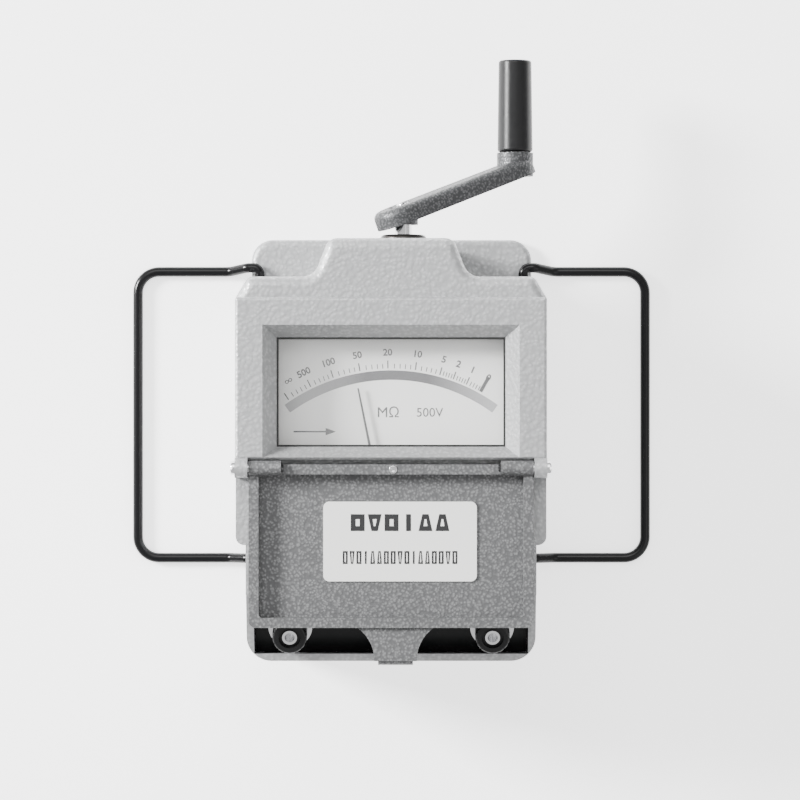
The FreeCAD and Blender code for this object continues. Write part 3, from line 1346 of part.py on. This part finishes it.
os.makedirs("parts", exist_ok=True)
for name, make in PIECES.items():
    shape = make()
    shape.exportStep("parts/" + name + ".step")
    whole = all(s.isValid() and s.Volume > 0 for s in shape.Solids) and shape.Solids
    print(name, len(shape.Solids), round(shape.Volume, 1), "" if whole else "NOT A VALID SOLID")
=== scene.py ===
"""Looks of a hand-cranked insulation resistance tester, lying on its back with its lid folded open.

Metres throughout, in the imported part's own frame: +Z out of the dial, +Y towards the crank.
"""
import math

import bpy
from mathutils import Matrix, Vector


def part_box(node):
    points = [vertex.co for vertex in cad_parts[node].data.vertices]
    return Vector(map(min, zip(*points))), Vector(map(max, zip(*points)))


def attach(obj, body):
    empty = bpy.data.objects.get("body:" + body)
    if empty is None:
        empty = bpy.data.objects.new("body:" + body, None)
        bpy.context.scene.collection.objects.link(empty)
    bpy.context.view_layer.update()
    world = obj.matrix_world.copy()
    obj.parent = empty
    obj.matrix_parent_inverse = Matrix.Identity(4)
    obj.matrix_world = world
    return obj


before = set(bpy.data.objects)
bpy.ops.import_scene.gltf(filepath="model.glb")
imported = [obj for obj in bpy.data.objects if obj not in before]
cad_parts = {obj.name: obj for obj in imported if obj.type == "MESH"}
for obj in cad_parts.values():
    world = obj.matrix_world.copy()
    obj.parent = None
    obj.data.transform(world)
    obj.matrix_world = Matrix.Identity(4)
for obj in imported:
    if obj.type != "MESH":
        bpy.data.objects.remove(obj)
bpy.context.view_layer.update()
MM = 0.001


# Case: a die-cast aluminium tub, stoved all over with silver hammertone paint, whose
# flow marks are shallow dimples a millimetre or two across with darker veins between them.
class Paint:
    """A socket that can be added to, taken from and multiplied in a material's nodes."""

    def __init__(self, finish, socket):
        self.finish = finish
        self.socket = socket

    def __add__(self, other):
        return self.finish.node("ShaderNodeMath", {"operation": "ADD"}, {0: self, 1: other})

    __radd__ = __add__

    def __mul__(self, other):
        return self.finish.node("ShaderNodeMath", {"operation": "MULTIPLY"}, {0: self, 1: other})

    __rmul__ = __mul__

    def __rsub__(self, other):
        return self.finish.node("ShaderNodeMath", {"operation": "SUBTRACT"}, {0: other, 1: self})


class Finish:
    """One material and the nodes that make it."""

    def __init__(self, name, colour, roughness, metallic=0.0):
        self.material = bpy.data.materials.new(name)
        self.material.use_nodes = True
        self.tree = self.material.node_tree
        self.shader = self.tree.nodes["Principled BSDF"]
        self.shader.inputs["Base Color"].default_value = (*colour, 1.0)
        self.shader.inputs["Roughness"].default_value = roughness
        self.shader.inputs["Metallic"].default_value = metallic

    def node(self, kind, settings, inputs, output=0):
        made = self.tree.nodes.new(kind)
        for setting, value in settings.items():
            if setting == "stops":
                for stop, (place, shade) in zip(made.color_ramp.elements, value):
                    stop.position = place
                    stop.color = (shade, shade, shade, 1.0)
            else:
                setattr(made, setting, value)
        for key, value in inputs.items():
            if isinstance(value, Paint):
                self.tree.links.new(value.socket, made.inputs[key])
            else:
                made.inputs[key].default_value = value
        return Paint(self, made.outputs[output])

    def feed(self, name, paint):
        self.tree.links.new(paint.socket, self.shader.inputs[name])

    def place(self):
        return self.node("ShaderNodeTexCoord", {}, {}, "Object")

    def blend(self, factor, first, second):
        inputs = {0: factor, 6: (*first, 1.0), 7: (*second, 1.0)}
        return self.node("ShaderNodeMix", {"data_type": "RGBA"}, inputs, 2)

    def raise_by(self, height, depth, strength=1.0):
        inputs = {"Height": height, "Distance": depth, "Strength": strength}
        self.feed("Normal", self.node("ShaderNodeBump", {}, inputs))


def hammertone(name, vein, flake, dimples_per_metre, roughness, metallic, depth):
    """Hammertone paint: rounded dimples of one colour in a net of darker veins."""
    finish = Finish(name, flake, roughness, metallic)
    place = finish.place()
    drift = finish.node("ShaderNodeTexNoise", {}, {"Vector": place, "Scale": 60.0, "Detail": 2.0}, 1)
    pushed = finish.node("ShaderNodeMix", {"data_type": "VECTOR"}, {0: 0.004, 4: place, 5: drift}, 1)
    settings = {"feature": "SMOOTH_F1"}
    inputs = {"Vector": pushed, "Scale": dimples_per_metre, "Smoothness": 0.6}
    dimples = finish.node("ShaderNodeTexVoronoi", settings, inputs, "Distance")
    fine = finish.node("ShaderNodeTexNoise", {}, {"Vector": place, "Scale": 1800.0, "Detail": 3.0})
    ramp = {"stops": [(0.18, 1.0), (0.62, 0.0)]}
    flow = finish.node("ShaderNodeValToRGB", ramp, {0: dimples * 0.85 + fine * 0.28})
    finish.feed("Base Color", finish.blend(flow, vein, flake))
    finish.feed("Roughness", (1.0 - flow) * 0.22 + roughness)
    finish.raise_by(1.0 - dimples, depth, 0.7)
    return finish.material


def paint_nodes(material, *names):
    """Gives one material to pieces that come ready-made in the frame."""
    for name in names:
        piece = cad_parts[name]
        piece.data.materials.clear()
        piece.data.materials.append(material)


silver_hammertone = hammertone("silver_hammertone", (0.36, 0.364, 0.368), (0.50, 0.505, 0.51),
                               620.0, 0.30, 0.45, 0.00030)
paint_nodes(silver_hammertone, "case", "base_plate")

# Fixing screws of the case, the frame and the movement: plain steel, turned and slotted,
# with a grain too fine to be seen as more than a soft gloss.
steel = Finish("turned_steel", (0.50, 0.50, 0.51), 0.34, 1.0)
grain = steel.node("ShaderNodeTexNoise", {}, {"Vector": steel.place(), "Scale": 900.0, "Detail": 2.0})
steel.feed("Roughness", grain * 0.18 + 0.26)
paint_nodes(steel.material, "base_screws", "bezel_screws", "movement_screws", "glass_clips", "dial_bracket",
            "board_screws", "panel_screws", "gear_frame_screws", "generator_bolts", "generator_spacers",
            "gear_pillars", "front_gear_plate", "rear_gear_plate", "generator_bell", "middle_arbor",
            "rotor_shaft", "pivot_staff", "meter_cradle")

# Window frame: a second casting with the same paint, screwed on from inside, with a
# splayed mouth that leads down to the pane.
paint_nodes(silver_hammertone, "bezel")

# Pane: a flat sheet of clear glass, cut square, laid under the frame's lip from inside and
# held there by four steel clips.
pane = Finish("clear_pane", (1.0, 1.0, 1.0), 0.02)
pane.shader.inputs["Transmission Weight"].default_value = 0.0
pane.shader.inputs["Alpha"].default_value = 0.06
paint_nodes(pane.material, "window_glass")


# Window gasket: a thin black rubber strip that closes the joint between pane and frame,
# cut as one rectangle and pressed in all round.
def deselect():
    """Leaves edit mode and selects nothing."""
    if bpy.context.object and bpy.context.object.mode != "OBJECT":
        bpy.ops.object.mode_set(mode="OBJECT")
    bpy.ops.object.select_all(action="DESELECT")


def block(low, high):
    """A box between two corners, left in edit mode with all of it selected."""
    deselect()
    middle = [(a + b) / 2 for a, b in zip(low, high)]
    bpy.ops.mesh.primitive_cube_add(size=1.0, location=middle)
    made = bpy.context.object
    made.scale = [b - a for a, b in zip(low, high)]
    bpy.ops.object.transform_apply(location=True, rotation=True, scale=True)
    bpy.ops.object.mode_set(mode="EDIT")
    bpy.ops.mesh.select_all(action="SELECT")
    return made


def pick_faces(piece, wanted):
    """Selects, in edit mode, the faces for which wanted(centre, normal) is true."""
    bpy.ops.mesh.select_mode(type="FACE")
    bpy.ops.mesh.select_all(action="DESELECT")
    bpy.ops.object.mode_set(mode="OBJECT")
    for face in piece.data.polygons:
        face.select = bool(wanted(face.center, face.normal))
    bpy.ops.object.mode_set(mode="EDIT")


def pick_edges(piece, wanted):
    """Selects, in edit mode, the edges for which wanted(first end, second end) is true."""
    bpy.ops.mesh.select_mode(type="EDGE")
    bpy.ops.mesh.select_all(action="DESELECT")
    bpy.ops.object.mode_set(mode="OBJECT")
    points = piece.data.vertices
    for edge in piece.data.edges:
        first, second = (points[v].co for v in edge.vertices)
        edge.select = bool(wanted(first, second))
    bpy.ops.object.mode_set(mode="EDIT")


def finished(piece, name, body, material, angle=None):
    """Names a piece, paints it and fixes it to the body that carries it."""
    if piece.mode == "EDIT":
        bpy.ops.object.mode_set(mode="OBJECT")
    if angle is not None:
        bpy.ops.object.shade_smooth_by_angle(angle=math.radians(angle))
    bpy.ops.object.transform_apply(location=True, rotation=True, scale=True)
    piece.name = name
    piece.data.name = name
    piece.data.materials.clear()
    piece.data.materials.append(material)
    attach(piece, body)
    return piece


def cut_through(piece, border):
    """Opens the middle of a flat block, leaving a border of even width."""
    pick_faces(piece, lambda centre, normal: abs(normal.z) > 0.9)
    bpy.ops.mesh.inset(thickness=border, use_individual=True)
    bpy.ops.mesh.delete(type="FACE")
    bpy.ops.mesh.select_mode(type="EDGE")
    bpy.ops.mesh.select_non_manifold()
    bpy.ops.mesh.bridge_edge_loops()
    bpy.ops.mesh.select_all(action="SELECT")
    bpy.ops.mesh.normals_make_consistent(inside=False)


rubber = Finish("black_rubber", (0.012, 0.012, 0.012), 0.6).material
glass_low, glass_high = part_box("window_glass")
LAP = 2.2 * MM
GASKET_PLAY = 0.02 * MM
GASKET_W = 0.8 * MM
GASKET_T = 0.5 * MM
inset = LAP + GASKET_PLAY
gasket = block((glass_low.x + inset, glass_low.y + inset, glass_high.z + GASKET_PLAY),
               (glass_high.x - inset, glass_high.y - inset, glass_high.z + GASKET_T))
cut_through(gasket, GASKET_W)
finished(gasket, "window_gasket", "instrument", rubber)

# Dial: a flat aluminium plate stoved with off-white enamel and held on a bracket over the
# movement; its scale is printed on it in black ink.
white_enamel = Finish("white_enamel", (0.86, 0.86, 0.84), 0.42)
paint_nodes(white_enamel.material, "dial_plate")
ink = Finish("black_ink", (0.012, 0.012, 0.013), 0.5).material

# Scale band: a wide arc under the graduations, printed in dark grey, swung about the
# point that the pointer turns on. Its colour carries a painted reflection: darkest in the middle, paling to grey
# towards both ends.
scale_band_ink_and_painted_reflection = Finish("scale_band_ink_and_painted_reflection", (0.05, 0.05, 0.055), 0.5)
across = scale_band_ink_and_painted_reflection.node("ShaderNodeSeparateXYZ", {}, {0: scale_band_ink_and_painted_reflection.place()}, 0)
from_middle = scale_band_ink_and_painted_reflection.node("ShaderNodeMath", {"operation": "ABSOLUTE"}, {0: across + -0.002})
painted_reflection_stops = {"stops": [(0.3, 0.0), (0.95, 1.0)]}
# Painted reflection: fully dark within about 12 mm either side of x = 2 mm, pale grey beyond about 40 mm.
painted_reflection_mask = scale_band_ink_and_painted_reflection.node("ShaderNodeValToRGB", painted_reflection_stops, {0: from_middle * 24.0})
scale_band_ink_and_painted_reflection.feed("Base Color", scale_band_ink_and_painted_reflection.blend(painted_reflection_mask, (0.045, 0.045, 0.05), (0.34, 0.34, 0.345)))
staff_low, staff_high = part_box("pivot_staff")
PIVOT_X = (staff_low.x + staff_high.x) / 2
PIVOT_Y = (staff_low.y + staff_high.y) / 2
INK_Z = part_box("dial_plate")[1].z
INK_T = 0.06 * MM
PRINT_Z = INK_Z + INK_T / 2
SCALE_HALF = 36.0
BAND_STEPS = 48
BAND_IN_R = 69.6 * MM
BAND_OUT_R = 73.4 * MM


def swung(name, inner_r, outer_r, first, last, material):
    """A flat printed arc between two radii, from one angle to another, left of straight up."""
    deselect()
    middle = (PIVOT_X, PIVOT_Y + (inner_r + outer_r) / 2, INK_Z)
    bpy.ops.mesh.primitive_plane_add(size=1.0, location=middle)
    strip = bpy.context.object
    strip.scale = (outer_r - inner_r, outer_r - inner_r, 1.0)
    bpy.ops.object.transform_apply(location=True, rotation=True, scale=True)
    bpy.ops.object.mode_set(mode="EDIT")
    pick_edges(strip, lambda a, b: a.x < PIVOT_X and b.x < PIVOT_X)
    bpy.ops.mesh.select_all(action="INVERT")
    bpy.ops.mesh.delete(type="EDGE")
    bpy.ops.mesh.select_all(action="SELECT")
    bpy.ops.transform.translate(value=((outer_r - inner_r) / 2, 0, INK_T))
    turn = math.radians(first)
    bpy.ops.mesh.spin(steps=1, angle=turn, center=(PIVOT_X, PIVOT_Y, INK_Z), axis=(0, 0, 1), dupli=True)
    bpy.ops.mesh.select_all(action="INVERT")
    bpy.ops.mesh.delete(type="VERT")
    bpy.ops.mesh.select_all(action="SELECT")
    sweep = math.radians(last - first)
    bpy.ops.mesh.spin(steps=BAND_STEPS, angle=sweep, center=(PIVOT_X, PIVOT_Y, INK_Z), axis=(0, 0, 1))
    bpy.ops.mesh.select_all(action="SELECT")
    bpy.ops.mesh.remove_doubles(threshold=0.000001)
    bpy.ops.mesh.normals_make_consistent(inside=False)
    bpy.ops.object.mode_set(mode="OBJECT")
    thicken = strip.modifiers.new("ink", "SOLIDIFY")
    thicken.thickness = INK_T * 0.8
    bpy.ops.object.modifier_apply(modifier=thicken.name)
    return finished(strip, name, "instrument", material)


swung("scale_band", BAND_IN_R, BAND_OUT_R, SCALE_HALF, -SCALE_HALF, scale_band_ink_and_painted_reflection.material)

# Graduations: long strokes at the numbered values and short ones between, crowded at both
# ends as on every ratio meter.
MARKS = [("∞", 34.0), ("500", 26.0), ("100", 18.4), ("50", 9.8), ("20", 1.0), ("10", -7.6),
         ("5", -15.4), ("2", -19.8), ("1", -24.2), ("0", -29.2)]
TICK_FOOT_R = 74.2 * MM
LONG_TICK = 3.2 * MM
SHORT_TICK = 1.9 * MM
TICK_W = 0.46 * MM
BETWEEN = 4


def joined(parts, name, body, material):
    """Several loose pieces made into one object."""
    deselect()
    for part in parts:
        part.select_set(True)
    bpy.context.view_layer.objects.active = parts[0]
    bpy.ops.object.join()
    return finished(bpy.context.object, name, body, material)


def tick(angle, length, width):
    """One straight stroke across the scale, at an angle in degrees left of straight up."""
    low = (PIVOT_X - width / 2, PIVOT_Y + TICK_FOOT_R, INK_Z + 0.01 * MM)
    stroke = block(low, (PIVOT_X + width / 2, low[1] + length, INK_Z + INK_T))
    turn = -math.radians(angle)
    bpy.ops.transform.rotate(value=turn, orient_axis="Z", center_override=(PIVOT_X, PIVOT_Y, INK_Z))
    bpy.ops.object.mode_set(mode="OBJECT")
    return stroke


strokes = []
for (_, angle), (_, following) in zip(MARKS, MARKS[1:]):
    strokes.append(tick(angle, LONG_TICK, TICK_W))
    for step in range(1, BETWEEN + 1):
        part_way = angle + (following - angle) * (step / (BETWEEN + 1)) ** 0.9
        strokes.append(tick(part_way, SHORT_TICK, TICK_W * 0.7))
strokes.append(tick(MARKS[-1][1], LONG_TICK * 2.1, TICK_W * 3.0))
joined(strokes, "scale_strokes", "instrument", ink)

# Figures and unit marks: printed in black in a plain upright face, the figures turned to
# follow the scale above it and the units set level below it.
FIGURE_R = 80.6 * MM
FIGURE_H = 3.8 * MM
FIGURE_SWELL = 0.1 * MM
FIGURE_END = 31.0


def lettering(words, height, place, turn=0.0, swell=0.0):
    """Printed characters, thickened by swell on every side."""
    deselect()
    bpy.ops.object.text_add(location=place, rotation=(0.0, 0.0, turn))
    text = bpy.context.object
    text.data.body = words
    text.data.size = height
    text.data.extrude = INK_T / 2
    text.data.offset = swell
    text.data.resolution_u = 3
    text.data.align_x = "CENTER"
    text.data.align_y = "CENTER"
    bpy.ops.object.convert(target="MESH")
    bpy.ops.object.transform_apply(location=True, rotation=True, scale=True)
    return bpy.context.object


figures = []
for words, angle in MARKS:
    turn = math.radians(min(angle, FIGURE_END))
    place = (PIVOT_X - FIGURE_R * math.sin(turn), PIVOT_Y + FIGURE_R * math.cos(turn), PRINT_Z)
    swell = FIGURE_SWELL if words.isdigit() else 0.0
    figures.append(lettering(words, FIGURE_H, place, turn, swell))
joined(figures, "scale_figures", "instrument", ink)

UNIT_Y = 15.2 * MM
UNIT_H = 5.2 * MM
units = [lettering("MΩ", UNIT_H * 1.15, (-1.2 * MM, UNIT_Y, PRINT_Z)),
         lettering("500V", UNIT_H, (15.6 * MM, UNIT_Y, PRINT_Z))]
joined(units, "unit_marks", "instrument", ink)

# Position mark: a small arrow printed in black beside the units, which says that the tester
# is used lying flat.
ARROW_X = -31.0 * MM
ARROW_Y = 7.6 * MM
arrow = [block((ARROW_X - 8.5 * MM, ARROW_Y - 0.3 * MM, INK_Z + 0.01 * MM),
               (ARROW_X + 5.0 * MM, ARROW_Y + 0.3 * MM, INK_Z + INK_T))]
bpy.ops.object.mode_set(mode="OBJECT")
head = block((ARROW_X + 4.5 * MM, ARROW_Y - 1.5 * MM, INK_Z + 0.01 * MM),
             (ARROW_X + 8.5 * MM, ARROW_Y + 1.5 * MM, INK_Z + INK_T))
pick_faces(head, lambda centre, normal: normal.x > 0.9)
bpy.ops.transform.resize(value=(1.0, 0.05, 1.0))
bpy.ops.object.mode_set(mode="OBJECT")
arrow.append(head)
joined(arrow, "position_mark", "instrument", ink)

# Movement: a ring magnet with iron pole shoes round two crossed coils of fine copper wire on
# a pointed steel staff, between brass bridges.
magnet_metal = Finish("ground_magnet", (0.16, 0.16, 0.17), 0.45, 0.8).material
paint_nodes(magnet_metal, "meter_magnet", "pole_shoes", "meter_core", "rotor_magnet", "stator_core")
brass = Finish("turned_brass", (0.72, 0.52, 0.22), 0.28, 1.0).material
paint_nodes(brass, "top_bridge", "lower_bridge", "jewel_screws", "drive_gear", "second_gear", "terminal_fixings")
copper = Finish("enamelled_copper", (0.55, 0.20, 0.08), 0.35, 0.9).material
paint_nodes(copper, "moving_coils", "stator_coils")

# Pointer: a flat aluminium needle stoved matt black, pressed on the movement's staff by
# a small hub.
paint_nodes(ink, "pointer")

# Lid: a shallow die-cast tray in darker hammertone, with a thumb tab; it hangs on two shoulder
# screws and lies open over the apron.
grey_hammertone = hammertone("grey_hammertone", (0.10, 0.101, 0.103), (0.24, 0.242, 0.245),
                             900.0, 0.36, 0.35, 0.00022)
paint_nodes(grey_hammertone, "lid")
plating = Finish("bright_plating", (0.80, 0.80, 0.81), 0.16, 1.0).material
paint_nodes(plating, "lid_hinge_screws", "crank_shaft", "crank_hub_screw", "grip_spindle", "terminal_collars",
            "terminal_posts", "right_washer", "left_washer")

# Lid catch: a small plated spring button riveted through the middle of the lid's hinge side,
# with a rounded rim and a dimple in its face.
CATCH_R = 1.7 * MM
CATCH_T = 1.0 * MM
CATCH_AT = (0.8 * MM, -7.4 * MM, 99.7 * MM)
CATCH_EDGE = 0.45 * MM
DIMPLE_RIM = 0.5 * MM
DIMPLE_T = 0.2 * MM
deselect()
bpy.ops.mesh.primitive_cylinder_add(vertices=32, radius=CATCH_R, depth=CATCH_T, location=CATCH_AT)
catch = bpy.context.object
bpy.ops.object.transform_apply(location=True, rotation=False, scale=False)
bpy.ops.object.mode_set(mode="EDIT")
pick_faces(catch, lambda centre, normal: normal.z > 0.9)
bpy.ops.mesh.bevel(offset=CATCH_EDGE, segments=4, affect="EDGES")
pick_faces(catch, lambda centre, normal: normal.z > 0.999)
bpy.ops.mesh.inset(thickness=DIMPLE_RIM)
bpy.ops.transform.translate(value=(0.0, 0.0, -DIMPLE_T))
bpy.ops.object.mode_set(mode="OBJECT")
finished(catch, "lid_catch", "lid", plating, 40)

# Instruction label: a white plastic card with rounded corners glued to the lid's floor, printed
# with short lines of small type.
card = Finish("white_card", (0.84, 0.84, 0.82), 0.45).material
paint_nodes(card, "lid_label")
label_low, label_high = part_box("lid_label")
BOLD_ROW = (6, 5.6 * MM, 6.8 * MM, 6.8 * MM, 2.0 * MM)
SMALL_ROW = (17, 2.0 * MM, 2.75 * MM, 5.2 * MM, 0.72 * MM)
BOLD_Y = label_high.y - 8.4 * MM
SMALL_Y = label_low.y + 9.6 * MM
LETTER_SHAPES = ("box", "head", "upright", "foot", "box", "head", "box")
DRAWN_IN = 0.45


def printed_row(y, count, wide, step, tall, stroke):
    """A row of made-up letters: boxes, uprights, and boxes drawn in at the head or the foot."""
    row = []
    start = (label_low.x + label_high.x) / 2 - (count - 1) * step / 2
    for number in range(count):
        x = start + number * step
        shape = LETTER_SHAPES[number * 3 % len(LETTER_SHAPES)]
        half = stroke / 2 if shape == "upright" else wide / 2
        low = (x - half, y - tall / 2, label_high.z + 0.01 * MM)
        letter = block(low, (x + half, y + tall / 2, label_high.z + INK_T))
        if shape != "upright":
            cut_through(letter, stroke)
        if shape in ("head", "foot"):
            upwards = 1 if shape == "head" else -1
            pick_edges(letter, lambda a, b: (a.y - y) * upwards > 0 and (b.y - y) * upwards > 0)
            bpy.ops.transform.resize(value=(DRAWN_IN, 1.0, 1.0))
        bpy.ops.object.mode_set(mode="OBJECT")
        row.append(letter)
    return row


joined(printed_row(BOLD_Y, *BOLD_ROW) + printed_row(SMALL_Y, *SMALL_ROW), "label_print", "lid", ink)

# Legs: one bent steel wire each, stoved gloss black, with hooked ends sprung into holes in
# the case's side walls.
wire_black = Finish("wire_enamel", (0.003, 0.003, 0.0035), 0.22)
wire_black.shader.inputs["Specular IOR Level"].default_value = 0.28
paint_nodes(wire_black.material, "right_leg", "left_leg")

# Crank: a cast arm in dark pewter hammertone, screwed on a plated steel shaft that runs in
# a blackened bronze bush.
pewter = hammertone("pewter_hammertone", (0.05, 0.051, 0.053), (0.15, 0.152, 0.156),
                    1100.0, 0.30, 0.6, 0.00016)
paint_nodes(pewter, "crank_arm")
dark_bronze = Finish("blackened_bronze", (0.035, 0.032, 0.03), 0.32, 0.7).material
paint_nodes(dark_bronze, "crank_bush")

# Grip, knobs and terminal panel: black moulded plastic, polished by use; the grip turns
# freely on its spindle and the knobs are threaded on their posts.
grip_black = Finish("polished_black", (0.006, 0.006, 0.0065), 0.30)
grip_black.shader.inputs["Specular IOR Level"].default_value = 0.3
marks = {"Vector": grip_black.place(), "Scale": 300.0, "Detail": 2.0}
turning = grip_black.node("ShaderNodeTexNoise", {}, marks)
grip_black.feed("Roughness", turning * 0.18 + 0.24)
paint_nodes(grip_black.material, "crank_grip", "right_knob", "left_knob", "terminal_panel")

# Circuit board: brown paper laminate on four screws, with its voltage multiplier soldered
# on it, and the two red-sleeved leads from the terminals.
paint_nodes(Finish("brown_laminate", (0.30, 0.17, 0.06), 0.5).material, "circuit_board")
paint_nodes(Finish("moulded_cases", (0.10, 0.14, 0.24), 0.35).material, "capacitors", "board_parts")
paint_nodes(Finish("red_sleeving", (0.40, 0.02, 0.02), 0.45).material, "internal_leads")

# Table, lights and camera: a plain pale floor under soft studio light from the left, seen
# from straight above.
deselect()
bpy.ops.mesh.primitive_plane_add(size=8.0, location=(0.0, 0.0, -0.0002))
floor = bpy.context.object
floor.name = "floor"
paper = Finish("pale_floor", (0.95, 0.95, 0.95), 0.9)
paper.shader.inputs["Emission Color"].default_value = (1.0, 1.0, 1.0, 1.0)
paper.shader.inputs["Emission Strength"].default_value = 1.8
floor.data.materials.append(paper.material)
LAMPS = (("key", (-1.6, 0.6, 0.9), 0.45, 125.0), ("fill", (1.2, -0.6, 1.6), 1.4, 6.0),
         ("top", (-0.2, 1.2, 1.9), 1.4, 20.0))
for name, place, size, power in LAMPS:
    deselect()
    bpy.ops.object.light_add(type="AREA", location=place)
    lamp = bpy.context.object
    lamp.name = name
    lamp.data.size = size
    lamp.data.energy = power
    reach = math.hypot(place[0], place[1])
    lamp.rotation_euler = (0.0, math.atan2(reach, place[2]), math.atan2(place[1], place[0]))

sky = bpy.data.worlds.new("studio")
sky.use_nodes = True
sky.node_tree.nodes["Background"].inputs["Color"].default_value = (1.0, 1.0, 1.0, 1.0)
sky.node_tree.nodes["Background"].inputs["Strength"].default_value = 0.8
bpy.context.scene.world = sky

FACE_Z = 100.0 * MM
STAND_OFF = 1.5
VIEW_W = 0.320
AIM_X = 3.6 * MM
AIM_Y = 20.4 * MM
deselect()
bpy.ops.object.camera_add(location=(AIM_X, AIM_Y, FACE_Z + STAND_OFF), rotation=(0.0, 0.0, 0.0))
camera = bpy.context.object
camera.data.sensor_width = 36.0
camera.data.lens = camera.data.sensor_width * STAND_OFF / VIEW_W
bpy.context.scene.camera = camera
